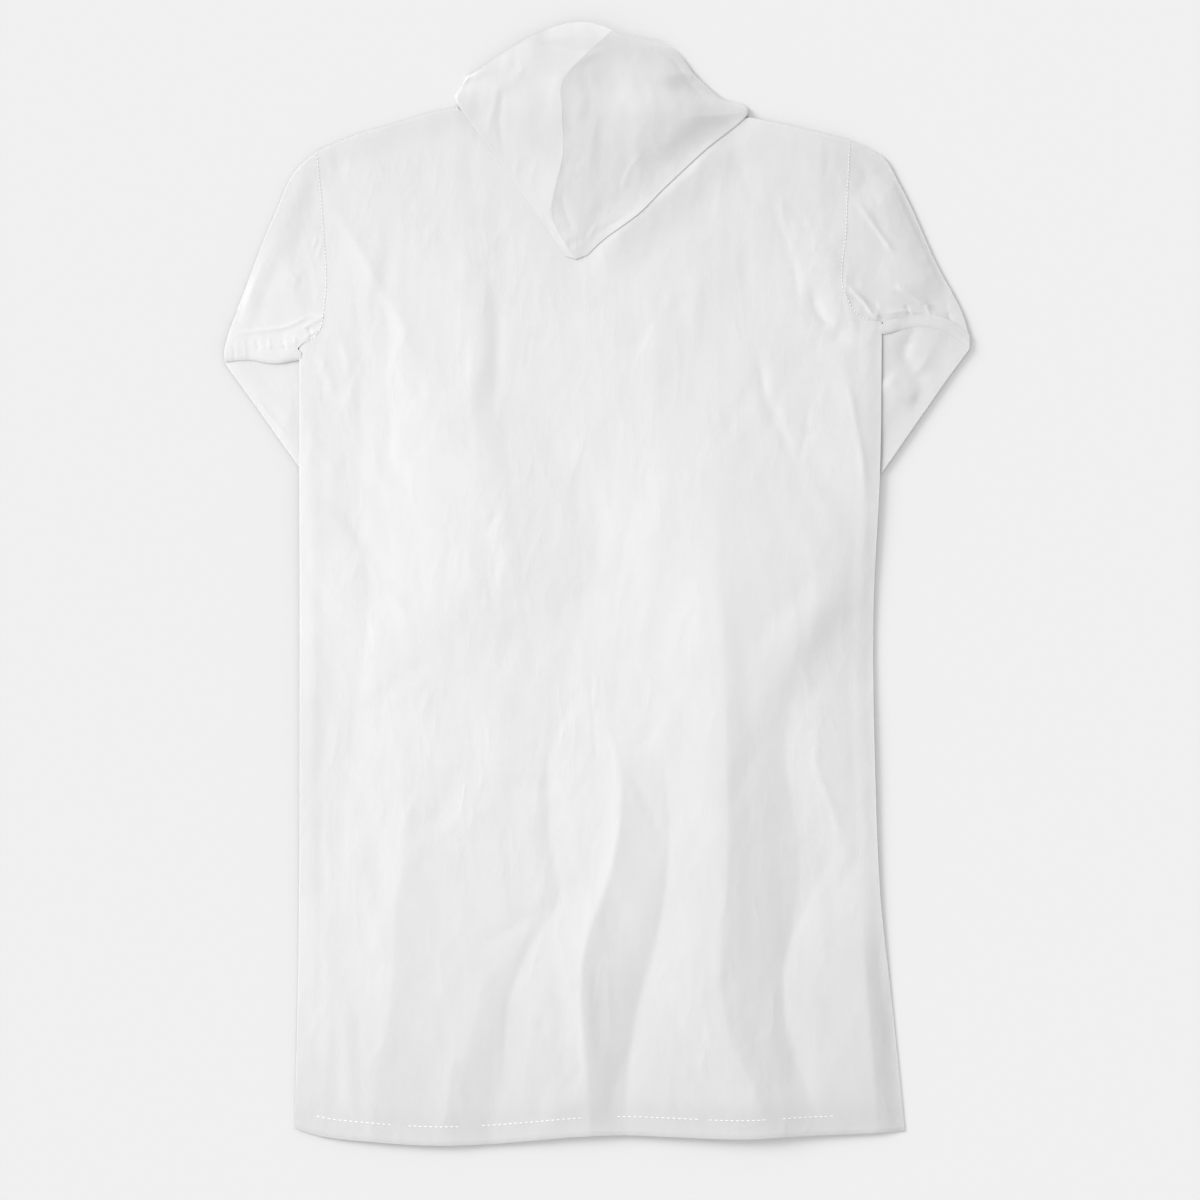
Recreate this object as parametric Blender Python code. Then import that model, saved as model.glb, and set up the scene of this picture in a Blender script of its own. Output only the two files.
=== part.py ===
"""Hooded rain poncho of thin milky film, laid flat on its front.

Front, back, two sleeves and a hood in two halves, each a cloth wall of its own.
Lengths in the tables are millimetres; the model is in metres, +Z up, and the
poncho lies with its front on the plane Z = 0, its hood towards +Y.
X = 0, Y = 0 is the middle of its outline.
"""

import math

import bmesh
import bpy
import numpy as np

MM = 0.001

# Cloth
WALL = 1.2                # film, drawn thick enough to be a solid wall
GAP = 0.3                 # clear space between two pieces
LAYER = WALL + GAP        # height from one lying panel to the next
LOWEST = WALL / 2         # middle of a wall that lies on the ground
HEM_EXTRA = 0.5           # a turned hem is this much thicker
HEM_DEPTH = 23.0
HEM_ROWS = 3              # rows of points in the hem band
HEM_STEP = 1.0            # width of the step from a panel to its hem
CUFF_DEPTH = 20.0
FOLD_ROUND = 1.5          # furthest that a folded edge bulges outwards
EDGE_ROLL = 34.0          # width over which the puffed cloth comes down to a seam

# Mesh
COLUMNS = 36              # across a panel: a quarter on each shoulder, half on the neck
LOW_ROWS = 21             # hem to underarm, above the hem band
HIGH_ROWS = 11            # underarm to shoulder, and across a sleeve
NECK_SPLIT = 0.25
ARC_STEPS = 2             # points round a folded edge
HOOD_COLUMNS = 7
HOOD_STEP = 0.25          # rows of the hood table between two sections

# Body outline: (across, up)
HEM = ((-324, -583), (-296, -591), (-179, -601), (-61, -595), (-13, -591),
       (25, -590), (153, -594), (292, -588), (330, -586))
LEFT_SIDE = ((-324, -583), (-320, -400), (-318.5, -100), (-319, 255))
RIGHT_SIDE = ((330, -586), (317, -456), (304, -338), (298, -200), (296.5, -17),
              (303, 119), (305, 282))
LEFT_ARMHOLE = ((-319, 255), (-299, 269), (-292, 300), (-294, 390), (-300, 464))
RIGHT_ARMHOLE = ((305, 282), (283, 286), (266, 310), (267, 380), (271, 475))
LEFT_SHOULDER = ((-300, 464), (-264, 479), (-211, 495), (-178, 505), (-149.5, 511))
RIGHT_SHOULDER = ((271, 475), (217, 488), (163.5, 500))
NECK_CENTRE = -11
BACK_NECK_DEPTH = 16
FRONT_NECK_LOW = 440

# Sleeves, laid out and then bent under the body at the elbow
LEFT_OUTER = ((-300, 464), (-320, 447), (-346, 395), (-380, 309), (-396, 266), (-400, 250))
RIGHT_OUTER = ((271, 475), (291, 467), (307, 458), (323, 432), (366, 341), (393, 288),
               (400, 264))
LEFT_CREASE = ((-319.6, 252), (-345, 248), (-372, 252), (-400, 250))
RIGHT_CREASE = ((305.7, 279), (351, 288), (378, 280), (400, 264))
LIP_DEPTH = 12.0          # the upper arm overhangs the forearm by this much
LIP_DROP = 4.0            # and comes down over this much of it
FOREARM_WIDTH = 135.0
LEFT_FOREARM = ((-370, 196), (0.58, -0.815), 282.0)     # outer corner, direction, length
RIGHT_FOREARM = ((375, 218), (-0.571, -0.821), 293.0)
LEFT_BEND = ((-323, 242), (-300, 240), (-272, 236), (-248, 222))
RIGHT_BEND = ((308, 268), (288, 266), (266, 260), (247, 246))
ARM_ROWS = 7
BEND_ROWS = 4
FOREARM_ROWS = 5
FOREARM_PUFF = 4.0
PUFF_START = 4.0          # the forearm puffs up this far outside the body's edge,
PUFF_RUN = 30.0           # over this width
BUMP_KEEP = 36.0          # a panel stays lifted this far round a forearm
BUMP_END = 80.0           # and lies down again this far from it

# Hood table: centre seam, left edge and right edge of each section, tip to face edge,
# and how far the section bows up on the left and on the right
HOOD = (
    # seam x, y    left x, y     right x, y    bows
    (-23.5, 348.5, -33, 353.0, -9, 356.0, 0, 0),
    (-34.0, 365.0, -49, 375.0, 8, 370.0, 0, 0),
    (-48.0, 395.0, -66, 399.0, 45, 397.0, 0, 0),
    (-44.0, 424.0, -83, 424.0, 72, 424.0, 0, 0),
    (-36.0, 464.0, -112, 464.0, 115, 464.0, 0, 0),
    (-37.0, 504.0, -148.5, 513.5, 162, 505.0, 0, 0),
    (-34.0, 542.0, -146, 531.0, 135, 520.0, 8, 5),
    (16.0, 592.5, -137, 545.0, 106, 542.0, 22, 15),
)
BOW_SKEW = (1.0, -2.0)    # left and right: bowed more beside the seam, or beside the edge
HOOD_NECK = 5             # the row where the hood meets the neck
HOOD_PUFF = 15.0
HOOD_SLIM = 0.35          # share of that puff lost past the neck,
SLIM_ROWS = 2.0           # over these rows of the table
DROP_ROWS = 1.5           # rows over which the upper layer comes down past the neck
HOOD_ROLL = 42.0
CHIN_HEIGHT = 12.0
UNDER_HOOD = 0.3          # share of the back's folds left under the hood
UNDER_RUN = 50.0          # width over which they die away at the hood's edges
UNDER_CLEAR = 1.1         # a little more space between the back and the hood's lower layer
RIM_SHARE = 0.3           # the face edge's turned hem, in rows of the table
RIM_STEP = 0.02           # the step from the hood's cloth to that hem
EDGE_STEP = 0.1           # rows to each side that give the direction of an edge
SEAM_HALF = 0.25
STRIP_GAP = 0.4           # from the front's neckline to the hood's lower strip

# Folds of the back, as lines that run from shoulder to hem: the place across and the
# height of each crest or valley at these eight heights up the garment
LEVELS = (411, 272, 133, -17, -167, -306, -445, -584)
FOLDS = (
    # name            across at each level                             height at each level
    ("left edge", (-350, -345, -311, -309, -307, -305, -305, -302), (7, 7, 8, 8, 8, 8, 8, 6)),
    ("left hollow", (-280, -259, -254, -245, -262, -275, -284, -291), (3, 2, 3, 2, 5, 6, 6, 3)),
    ("left crest", (-262, -239, -221, -207, -209, -207, -221, -241), (9, 12, 12, 12, 11, 12, 12, 9)),
    ("left dip", (-189, -177, -168, -157, -155, -152, -157, -168), (5, 5, 7, 8, 8, 8, 7, 5)),
    ("blade crest", (-144, -136, -125, -109, -104, -98, -127, -144), (10, 11, 11, 8, 6, 6, 5, 4)),
    ("blade foot", (-104, -98, -88, -75, -77, -72, -108, -124), (5, 5, 6, 5, 5, 5, 4, 3)),
    ("middle valley", (-40, -31, -25, -16, -48, -46, -93, -112), (4, 4, 3, 2, 3, 4, 3, 2)),
    ("middle crest", (30, 41, 46, 30, 16, 11, -17, -8), (9, 10, 11, 11, 13, 13, 13, 11)),
    ("wedge valley", (57, 62, 67, 57, 37, 74, 46, 26), (9, 10, 11, 10, 8, 4, 3, 2)),
    ("right crest", (110, 116, 123, 134, 139, 140, 134, 164), (11, 12, 13, 14, 14, 14, 13, 9)),
    ("right valley", (196, 217, 217, 279, 202, 217, 201, 243), (5, 5, 4, 3, 4, 3, 3, 2)),
    ("lens crest", (239, 258, 284, 292, 235, 268, 271, 287), (8, 9, 9, 5, 9, 9, 10, 8)),
    ("right edge", (330, 340, 324, 319, 303, 308, 314, 319), (8, 8, 5, 4, 4, 3, 2, 2)),
)
# Slanting ridges on top of them: start, end, half width, height
RIDGES = (
    ((-294, 422), (-192, 224), 13, 3.5),
    ((212, 384), (255, 347), 12, 3.0),
    ((290, 96), (222, -8), 26, 4.0),
    ((-314, 170), (-275, 111), 12, 2.0),
)

FILM_COLOUR = (0.80, 0.82, 0.84, 1.0)
FILM_ROUGHNESS = 0.35
SHARP_ANGLE = math.radians(50)


def ease(share):
    """0 to 1 with level ends."""
    share = np.clip(share, 0.0, 1.0)
    return share * share * (3 - 2 * share)


def hermite(stations, values, wanted):
    """Smooth values between stations; each row of values is one quantity."""
    slopes = np.gradient(values, stations, axis=-1)
    left = np.clip(np.searchsorted(stations, wanted) - 1, 0, len(stations) - 2)
    step = stations[left + 1] - stations[left]
    t = np.clip((wanted - stations[left]) / step, 0.0, 1.0)
    start = values[..., left] * (1 + 2 * t) * (1 - t) ** 2
    end = values[..., left + 1] * t * t * (3 - 2 * t)
    bend = slopes[..., left] * t * (1 - t) ** 2 - slopes[..., left + 1] * t * t * (1 - t)
    return start + end + bend * step


def curve(points):
    """A smooth curve through the points, as a function of the share of its length."""
    points = np.array(points, float)
    run = np.concatenate([[0], np.cumsum(np.linalg.norm(np.diff(points, axis=0), axis=1))])
    stations = run / run[-1]
    return lambda share: hermite(stations, points.T, np.atleast_1d(share)).T[0]


def distance_to(points, lines):
    """How far each point is from the nearest of the lines."""
    nearest = np.full(len(points), np.inf)
    for line in lines:
        line = np.array(line, float)
        for start, end in zip(line[:-1], line[1:]):
            along = end - start
            t = np.clip((points - start) @ along / (along @ along), 0, 1)
            gap = np.linalg.norm(points - start - t[:, None] * along, axis=1)
            nearest = np.minimum(nearest, gap)
    return nearest


def roll(distance, width):
    """Share of the puff left at this distance from a closed edge."""
    return np.sqrt(1 - (1 - np.clip(distance / width, 0, 1)) ** 2)


def forearm_bump(points):
    """How much a panel is lifted by the forearms that lie under it."""
    lift = np.zeros(len(points))
    for (corner, direction, length), inward in ((LEFT_FOREARM, 1), (RIGHT_FOREARM, -1)):
        along = (points - corner) @ np.array(direction)
        across = (points - corner) @ np.array((-direction[1], direction[0])) * inward
        past_end = np.maximum(np.maximum(along - length, -along), 0)
        past_side = np.maximum(np.maximum(across - FOREARM_WIDTH, -across), 0)
        away = np.hypot(past_end, past_side)
        lift = np.maximum(lift, 1 - ease((away - BUMP_KEEP) / (BUMP_END - BUMP_KEEP)))
    return lift * 2 * (LAYER + HEM_EXTRA)


def fold_height(points):
    """Crests, valleys and slanting ridges of the back, before its edges come down."""
    x, y = points.T
    levels = np.array(LEVELS[::-1], float)
    up = np.clip(y, levels[0], levels[-1])
    across = hermite(levels, np.array([row[1][::-1] for row in FOLDS], float), up)
    height = hermite(levels, np.array([row[2][::-1] for row in FOLDS], float), up)
    total = height[0]
    for i in range(len(FOLDS) - 1):
        width = np.maximum(across[i + 1] - across[i], 1)
        total = total + (height[i + 1] - height[i]) * ease((x - across[i]) / width)
    for start, end, half_width, rise in RIDGES:
        away = distance_to(points, [(start, end)])
        total = total + rise * np.exp(-((away / half_width) ** 2))
    return total


CLOSED_EDGES = (
    LEFT_SIDE, RIGHT_SIDE,
    LEFT_SHOULDER + ((-150, 515),), LEFT_OUTER,
    RIGHT_SHOULDER, RIGHT_OUTER,
)


def under_hood(points):
    """1 well outside the hood's two lower edges, less under them."""
    tip, left, right = (np.array(HOOD[0][:2]), np.array(HOOD[HOOD_NECK][2:4]),
                        np.array(HOOD[HOOD_NECK][4:6]))
    inside = np.full(len(points), np.inf)
    for start, end in ((left, tip), (tip, right)):
        along = (end - start) / np.linalg.norm(end - start)
        inside = np.minimum(inside, (points - start) @ np.array((-along[1], along[0])))
    return 1 - (1 - UNDER_HOOD) * ease(inside / UNDER_RUN + 0.5)


def top_height(points):
    """Middle of the upper layer: back panel and upper side of both upper arms."""
    puff = fold_height(points) * roll(distance_to(points, CLOSED_EDGES), EDGE_ROLL)
    return LOWEST + LAYER + forearm_bump(points) + puff * under_hood(points)


class Cloth:
    """A sheet given by its middle surface, made into a closed wall."""

    def __init__(self):
        self.points, self.normals, self.half_walls, self.quads = [], [], [], []

    def add(self, plan, height, normal=(0, 0, 1), extra=0.0):
        """One point of the middle surface; returns its number."""
        self.points.append((plan[0], plan[1], height))
        self.normals.append(normal)
        self.half_walls.append((WALL + extra) / 2)
        return len(self.points) - 1

    def join(self, first, second):
        """Faces between two rows of points."""
        for i in range(len(first) - 1):
            self.quads.append((first[i], first[i + 1], second[i + 1], second[i]))

    def build(self, name):
        """Both sides of the wall, and a rim along every edge that only one face uses."""
        points = np.array(self.points)
        shift = np.array(self.normals) * np.array(self.half_walls)[:, None]
        count = len(points)
        mesh = bmesh.new()
        corners = [mesh.verts.new(p * MM) for p in np.vstack([points + shift, points - shift])]
        uses = {}
        for quad in self.quads:
            a, b, c, d = quad
            for triangle in ((a, b, c), (a, c, d)):
                mesh.faces.new([corners[i] for i in triangle])
                mesh.faces.new([corners[i + count] for i in reversed(triangle)])
            for edge in ((a, b), (b, c), (c, d), (d, a)):
                uses[frozenset(edge)] = uses.get(frozenset(edge), 0) + 1
        for start, end in (tuple(edge) for edge, times in uses.items() if times == 1):
            mesh.faces.new([corners[i] for i in (end, start, start + count)])
            mesh.faces.new([corners[i] for i in (end, start + count, end + count)])
        bmesh.ops.recalc_face_normals(mesh, faces=mesh.faces)
        data = bpy.data.meshes.new(name)
        mesh.to_mesh(data)
        mesh.free()
        data.shade_smooth()
        data.set_sharp_from_angle(angle=SHARP_ANGLE)
        piece = bpy.data.objects.new(name, data)
        bpy.context.scene.collection.objects.link(piece)
        data.materials.append(film(name))
        return piece


def film(name):
    """Milky film."""
    material = bpy.data.materials.new(name + "_film")
    material.use_nodes = True
    shader = material.node_tree.nodes["Principled BSDF"]
    shader.inputs["Base Color"].default_value = FILM_COLOUR
    shader.inputs["Roughness"].default_value = FILM_ROUGHNESS
    shader.inputs["Metallic"].default_value = 0.0
    return material


def patch(bottom, top, left, right, across, up):
    """Point inside four boundary curves."""
    edges = (1 - up) * bottom(across) + up * top(across)
    sides = (1 - across) * left(up) + across * right(up)
    corners = (1 - up) * ((1 - across) * bottom(0) + across * bottom(1))
    corners = corners + up * ((1 - across) * top(0) + across * top(1))
    return edges + sides - corners


def neck_point(share, side_left, side_right, low):
    """Point of a neckline: two quarter ellipses that meet at the centre."""
    side = np.array(side_left if share < 0.5 else side_right, float)
    turn = np.pi * (share if share < 0.5 else 1 - share)
    x = NECK_CENTRE + (side[0] - NECK_CENTRE) * np.cos(turn)
    return np.array((x, side[1] - (side[1] - low) * np.sin(turn)))


def panel_top(low):
    """Upper boundary of a panel: shoulder, neckline, shoulder."""
    left = curve(LEFT_SHOULDER)
    right = curve(RIGHT_SHOULDER)

    def at(share):
        if share < NECK_SPLIT:
            return left(share / NECK_SPLIT)
        if share > 1 - NECK_SPLIT:
            return right((1 - share) / NECK_SPLIT)
        return neck_point((share - NECK_SPLIT) / (1 - 2 * NECK_SPLIT),
                          LEFT_SHOULDER[-1], RIGHT_SHOULDER[-1], low)
    return at


def panel_plan(low):
    """Rows of plan points from hem to shoulder; the first HEM_ROWS are the hem band."""
    across = np.linspace(0, 1, COLUMNS + 1)
    chest = curve((LEFT_SIDE[-1], RIGHT_SIDE[-1]))
    side_length = LEFT_SIDE[-1][1] - LEFT_SIDE[0][1]
    hem_share = HEM_DEPTH / side_length
    low_rows = np.concatenate([
        np.linspace(0, hem_share, HEM_ROWS),
        np.linspace(hem_share + HEM_STEP / side_length, 1, LOW_ROWS)])
    sides = curve(LEFT_SIDE), curve(RIGHT_SIDE)
    rows = [[patch(curve(HEM), chest, *sides, s, r) for s in across] for r in low_rows]
    holes = curve(LEFT_ARMHOLE), curve(RIGHT_ARMHOLE)
    for r in np.linspace(0, 1, HIGH_ROWS + 1)[1:]:
        rows.append([patch(chest, panel_top(low), *holes, s, r) for s in across])
    return rows


def panel(name, low, height_of, normal, layers_below):
    """The back or the front, from its hem to its shoulders and neckline."""
    cloth = Cloth()
    before = None
    for number, row in enumerate(panel_plan(low)):
        heights = height_of(np.array(row))
        extra = HEM_EXTRA if number < HEM_ROWS else 0.0
        lift = extra * (layers_below + 0.5)
        line = [cloth.add(p, h + lift, normal, extra) for p, h in zip(row, heights)]
        if before:
            cloth.join(before, line)
        before = line
    return cloth.build(name)


def front_height(points):
    """Middle of the front panel, flat on the ground but for the forearms under it."""
    return LOWEST + forearm_bump(points)


def section(cloth, plan, lower, upper, outward, extra=0.0):
    """A flattened ring: upper side from the first to the last point, a folded edge,
    the lower side back again and the other folded edge. Returns its point numbers."""
    ring = [cloth.add(p, z, (0, 0, 1), extra) for p, z in zip(plan, upper)]
    ring += fold(cloth, plan[-1], upper[-1], lower[-1], outward[1], extra)
    ring += [cloth.add(p, z, (0, 0, -1), extra) for p, z in zip(plan[::-1], lower[::-1])]
    ring += fold(cloth, plan[0], upper[0], lower[0], outward[0], extra)[::-1]
    return ring + ring[:1]


def fold(cloth, plan, top, bottom, outward, extra=0.0):
    """Points round a folded edge, from its upper side to its lower one."""
    middle, half = (top + bottom) / 2, (top - bottom) / 2
    reach = min(half, FOLD_ROUND)
    found = []
    for i in range(1, ARC_STEPS + 1):
        turn = np.pi * i / (ARC_STEPS + 1)
        out = np.array(outward) * np.sin(turn)
        found.append(cloth.add(plan + out * reach, middle + half * np.cos(turn),
                               (out[0], out[1], np.cos(turn)), extra))
    return found


def unit(vector):
    """The vector made one long."""
    return np.array(vector, float) / np.linalg.norm(vector)


def edge_directions(plan):
    """Outward direction at the first and the last point of a section."""
    return unit(plan[0] - plan[1]), unit(plan[-1] - plan[-2])


def draw_in(plan, ends):
    """The same section with its ends drawn in, so that its rounded folds end on the outline."""
    reach = FOLD_ROUND + WALL / 2
    return np.vstack([plan[:1] - ends[0] * reach, plan[1:-1], plan[-1:] - ends[1] * reach])


def upper_arm(cloth, armhole, outer, crease, side):
    """Sections of the upper arm, from the armhole fanning out to the elbow crease."""
    hole, edge, fold_line = curve(armhole), curve(outer), curve(crease)
    inner = curve((armhole[0], crease[0]))
    across = np.linspace(0, 1, HIGH_ROWS + 1)
    rings = []
    for r in np.linspace(0, 1, ARM_ROWS + 1):
        plan = np.array([patch(hole, fold_line, inner, edge, s, r) for s in across])
        ends = edge_directions(plan)
        if r == 0:
            tangent = np.gradient(plan, axis=0)
            beside = np.stack([tangent[:, 1], -tangent[:, 0]], axis=1) * side
            plan = plan + GAP * beside / np.linalg.norm(beside, axis=1)[:, None]
            ends = edge_directions(plan)
            plan[-1] -= ends[1] * (FOLD_ROUND + WALL / 2)
        else:
            plan = draw_in(plan, ends)
        lower = LOWEST + forearm_bump(plan) * (1 - r)
        rings.append(section(cloth, plan, lower, top_height(plan), ends))
    return rings


def forearm_lines(crease, bend, forearm, side):
    """Plan of each section past the crease, and its share of the upper arm's height: over
    the step at the crease, round the bend and along the forearm to the cuff."""
    corner, direction, length = np.array(forearm[0]), np.array(forearm[1]), forearm[2]
    inward = np.array((-direction[1], direction[0])) * -side
    across = np.linspace(0, 1, HIGH_ROWS + 1)
    lip = np.array([curve(crease)(s) for s in across])
    lines = [(lip - (0, LIP_DEPTH - LIP_DROP), 1.0), (lip - (0, LIP_DEPTH), 0.0)]
    below = lines[-1][0]
    outer_run = curve((below[-1], corner))
    inner_run = curve((below[0],) + bend[1:])
    ends = [(inner_run(t), outer_run(t)) for t in np.linspace(0, 1, BEND_ROWS + 1)[1:]]
    cuff_outer = corner + direction * length
    cuff_inner = cuff_outer + inward * FOREARM_WIDTH
    inner, outer = ends[-1]
    cuff = 1 - CUFF_DEPTH / length
    shares = list(np.linspace(0, cuff, FOREARM_ROWS + 1)[1:]) + [cuff + HEM_STEP / length, 1]
    ends += [(inner + (cuff_inner - inner) * t, outer + (cuff_outer - outer) * t) for t in shares]
    lines += [(first + np.outer(across, last - first), 0.0) for first, last in ends]
    return lip, lines, (tuple(crease[-1]), tuple(corner), tuple(cuff_outer))


def sleeve(name, armhole, outer, crease, bend, forearm):
    """A tube from the armhole to the cuff. Its sections run from the underarm to the
    outer edge, fan out to the elbow crease, step down and turn under the body."""
    side = np.sign(outer[-1][0])
    body_edge = abs(crease[0][0])
    cloth = Cloth()
    rings = upper_arm(cloth, armhole, outer, crease, side)
    lip, lines, edge_run = forearm_lines(crease, bend, forearm, side)
    for number, (plan, height_share) in enumerate(lines):
        ends = edge_directions(plan)
        plan = draw_in(plan, ends)
        outside = (np.abs(plan[:, 0]) - body_edge - PUFF_START) / PUFF_RUN
        own = FOREARM_PUFF * ease(outside) * roll(distance_to(plan, [edge_run]), EDGE_ROLL)
        flat = LOWEST + LAYER + own
        upper = flat + (top_height(lip) - flat) * height_share
        extra = HEM_EXTRA if number >= len(lines) - 2 else 0.0
        lower = np.full(len(plan), LOWEST + extra / 2)
        rings.append(section(cloth, plan, lower, upper + 1.5 * extra, ends, extra))
    for first, second in zip(rings[:-1], rings[1:]):
        cloth.join(first, second)
    return cloth.build(name)


def hood_edges():
    """The hood's folded outline: left and right edge from the tip to the face edge."""
    table = np.array(HOOD, float)
    return table[:, 2:4], table[:, 4:6]


def hood_heights(plan, v):
    """Middle of the hood's upper layer and of the layer folded under it."""
    under = top_height(plan) + LAYER + UNDER_CLEAR
    past_neck = ease((v - HOOD_NECK) / DROP_ROWS)
    ground = LOWEST + LAYER + HEM_EXTRA
    puff = HOOD_PUFF * (1 - HOOD_SLIM * ease((v - HOOD_NECK) / SLIM_ROWS))
    puff = puff * roll(distance_to(plan, hood_edges()), HOOD_ROLL)
    return (under + LAYER) * (1 - past_neck) + ground * past_neck + puff, under


def hood_curve(first_column):
    """A smooth curve through one x, y pair of the hood table, by row number."""
    values = np.array(HOOD, float)[:, first_column:first_column + 2].T
    stations = np.arange(len(HOOD), dtype=float)
    return lambda row: hermite(stations, values, np.array([row])).T[0]


def hood_strip(edge, row, side):
    """Lower edge of the hood past the neck: a quarter ellipse from its side to its chin."""
    share = (row - HOOD_NECK) / (len(HOOD) - 1 - HOOD_NECK)
    low = FRONT_NECK_LOW + STRIP_GAP + (CHIN_HEIGHT - GAP) * share
    centre = NECK_CENTRE + side * SEAM_HALF
    turns = np.linspace(0, np.pi / 2, COLUMNS // 4 + 1)
    return [(centre + (edge[0] - centre) * np.cos(t), edge[1] - (edge[1] - low) * np.sin(t))
            for t in turns]


def hood_half(name, side):
    """Half of the hood, laid back: upper layer from the centre seam to the outline, folded
    round it, then the layer under it to the back of the neck, and past the neck a strip
    down to the chin that lies on the ground beside the front's neckline."""
    seam_at, edge_at = hood_curve(0), hood_curve(2 if side < 0 else 4)
    bows = [row[6 if side < 0 else 7] for row in HOOD]
    last = len(HOOD) - 1
    rim = last - RIM_SHARE
    across = np.linspace(0, 1, HOOD_COLUMNS + 1)
    skew = BOW_SKEW[0 if side < 0 else 1]
    bow_shape = 4 * across * (1 - across) * (1 + skew * (0.5 - across))
    cloth = Cloth()
    before = None
    for row in list(np.arange(0, last, HOOD_STEP)) + [rim, rim + RIM_STEP, last]:
        extra = HEM_EXTRA if row > rim else 0.0
        seam, edge = seam_at(row) + (side * SEAM_HALF, 0), edge_at(row)
        run = edge_at(min(row + EDGE_STEP, last)) - edge_at(max(row - EDGE_STEP, 0))
        outward = unit((run[1], -run[0])) * side
        plan = seam + np.outer(across, edge - seam)
        plan[:, 1] += np.interp(row, range(len(HOOD)), bows) * bow_shape
        upper, under = hood_heights(plan, row)
        top = [cloth.add(p, z, (0, 0, 1), extra) for p, z in zip(plan, upper)]
        ground = LOWEST + extra / 2
        bottom = under[-1] if row <= HOOD_NECK else ground
        arc = fold(cloth, plan[-1], upper[-1], bottom, outward, extra)
        ways = {}
        if row <= HOOD_NECK:
            ways["back"] = [cloth.add(p, z, (0, 0, -1))
                            for p, z in zip(plan[::-1], under[::-1])]
        if row >= HOOD_NECK:
            ways["front"] = [cloth.add(p, ground, (0, 0, -1), extra)
                             for p in hood_strip(edge, row, side)]
        for way in ways:
            ways[way] = top + arc + ways[way]
            if before and way in before:
                cloth.join(before[way], ways[way])
        if before is None:
            close_tip(cloth, plan, upper, under, top, arc, ways["back"])
        before = ways
    return cloth.build(name)


def close_tip(cloth, plan, upper, under, top, arc, way):
    """The rounded fold across the hood's tip, between its two layers."""
    rows = [list(top)]
    for i in range(ARC_STEPS):
        turn = np.pi * (i + 1) / (ARC_STEPS + 1)
        row = []
        for point, high, low in zip(plan[:-1], upper[:-1], under[:-1]):
            middle, half = (high + low) / 2, (high - low) / 2
            out = np.array((0, -np.sin(turn)))
            row.append(cloth.add(point + out * min(half, FOLD_ROUND),
                                 middle + half * np.cos(turn), (0, out[1], np.cos(turn))))
        rows.append(row + [arc[i]])
    rows.append(way[len(top) + len(arc):][::-1])
    for first, second in zip(rows[:-1], rows[1:]):
        cloth.join(first, second)


for leftover in list(bpy.data.objects):
    bpy.data.objects.remove(leftover, do_unlink=True)

back_low = LEFT_SHOULDER[-1][1] - BACK_NECK_DEPTH
panel("back_panel", back_low, top_height, (0, 0, 1), 1)
panel("front_panel", FRONT_NECK_LOW, front_height, (0, 0, -1), 0)
sleeve("sleeve_left", LEFT_ARMHOLE, LEFT_OUTER, LEFT_CREASE, LEFT_BEND, LEFT_FOREARM)
sleeve("sleeve_right", RIGHT_ARMHOLE, RIGHT_OUTER, RIGHT_CREASE, RIGHT_BEND, RIGHT_FOREARM)
hood_half("hood_left", -1)
hood_half("hood_right", 1)
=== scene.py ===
"""Looks of the hooded rain poncho of milky film, laid flat on its front.

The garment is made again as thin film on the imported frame: back and front with their
turned hems, two sleeves pleated at the elbow and tucked under, and a hood in two halves
turned back over the shoulders. Tables are in millimetres, as the garment is measured;
meshes are in metres. +Y runs from the hem to the hood, +Z is up.
"""

import math

import bmesh
import bpy
import numpy as np
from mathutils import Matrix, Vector


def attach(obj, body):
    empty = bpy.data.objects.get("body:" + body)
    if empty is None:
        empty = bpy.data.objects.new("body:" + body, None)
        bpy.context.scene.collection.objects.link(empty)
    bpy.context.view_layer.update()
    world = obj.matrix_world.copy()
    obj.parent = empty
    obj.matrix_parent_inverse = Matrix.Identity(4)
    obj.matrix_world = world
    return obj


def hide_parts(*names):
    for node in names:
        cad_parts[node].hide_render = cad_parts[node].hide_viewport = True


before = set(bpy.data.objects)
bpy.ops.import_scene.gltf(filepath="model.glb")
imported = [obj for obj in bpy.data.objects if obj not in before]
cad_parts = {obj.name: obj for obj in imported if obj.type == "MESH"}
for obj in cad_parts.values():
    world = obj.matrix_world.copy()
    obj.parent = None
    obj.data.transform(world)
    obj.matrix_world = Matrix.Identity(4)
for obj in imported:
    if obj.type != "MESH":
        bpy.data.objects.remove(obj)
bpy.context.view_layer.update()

MM = 0.001

# Film and the height of its layers
FILM = 0.2                # shown wall of one film
LOWEST = 0.3              # middle of a film that lies on the ground
LAYER = 0.9               # from one lying layer to the next
EDGE_RUN = 26.0           # a floating outer edge comes down over this
EDGE_KEEP = 0.75          # share of the folds' height that is left at a closed edge
EDGE_ROLL = 18.0          # and the width over which the rest comes back
HEM_KEEP = 0.7            # the same two at the hem
HEM_ROLL = 42.0
FOLD_STRAIGHT = 0.75      # straight share of the flank between a crest and a valley
FRONT_RUN = 34.0          # the front follows the back up to the edge over this
FRONT_SINK = 0.15         # away from its edges the front lies this share of a layer lower
RIM_CLOSE = 14.0          # front and back come together this close to a closed edge
RIM_GAP = 0.45            # and this much stays clear between them there
EDGE_GAP = 0.7            # between the layers of a sleeve at its folded edge
DETAIL_RUN = 9.0          # creases fade this close to a folded edge
HEM_DEPTH = 23.0
HEM_FOLD = 0.3            # the turned hem lies this far under the panel
HEM_BULGE = 0.4           # and its fold bulges out by this much
CUFF_DEPTH = 20.0
FOLD_ROUND = 0.9          # furthest that a folded edge bulges outwards
SEAM_GAP = 0.3            # between two pieces that are welded together

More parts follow.
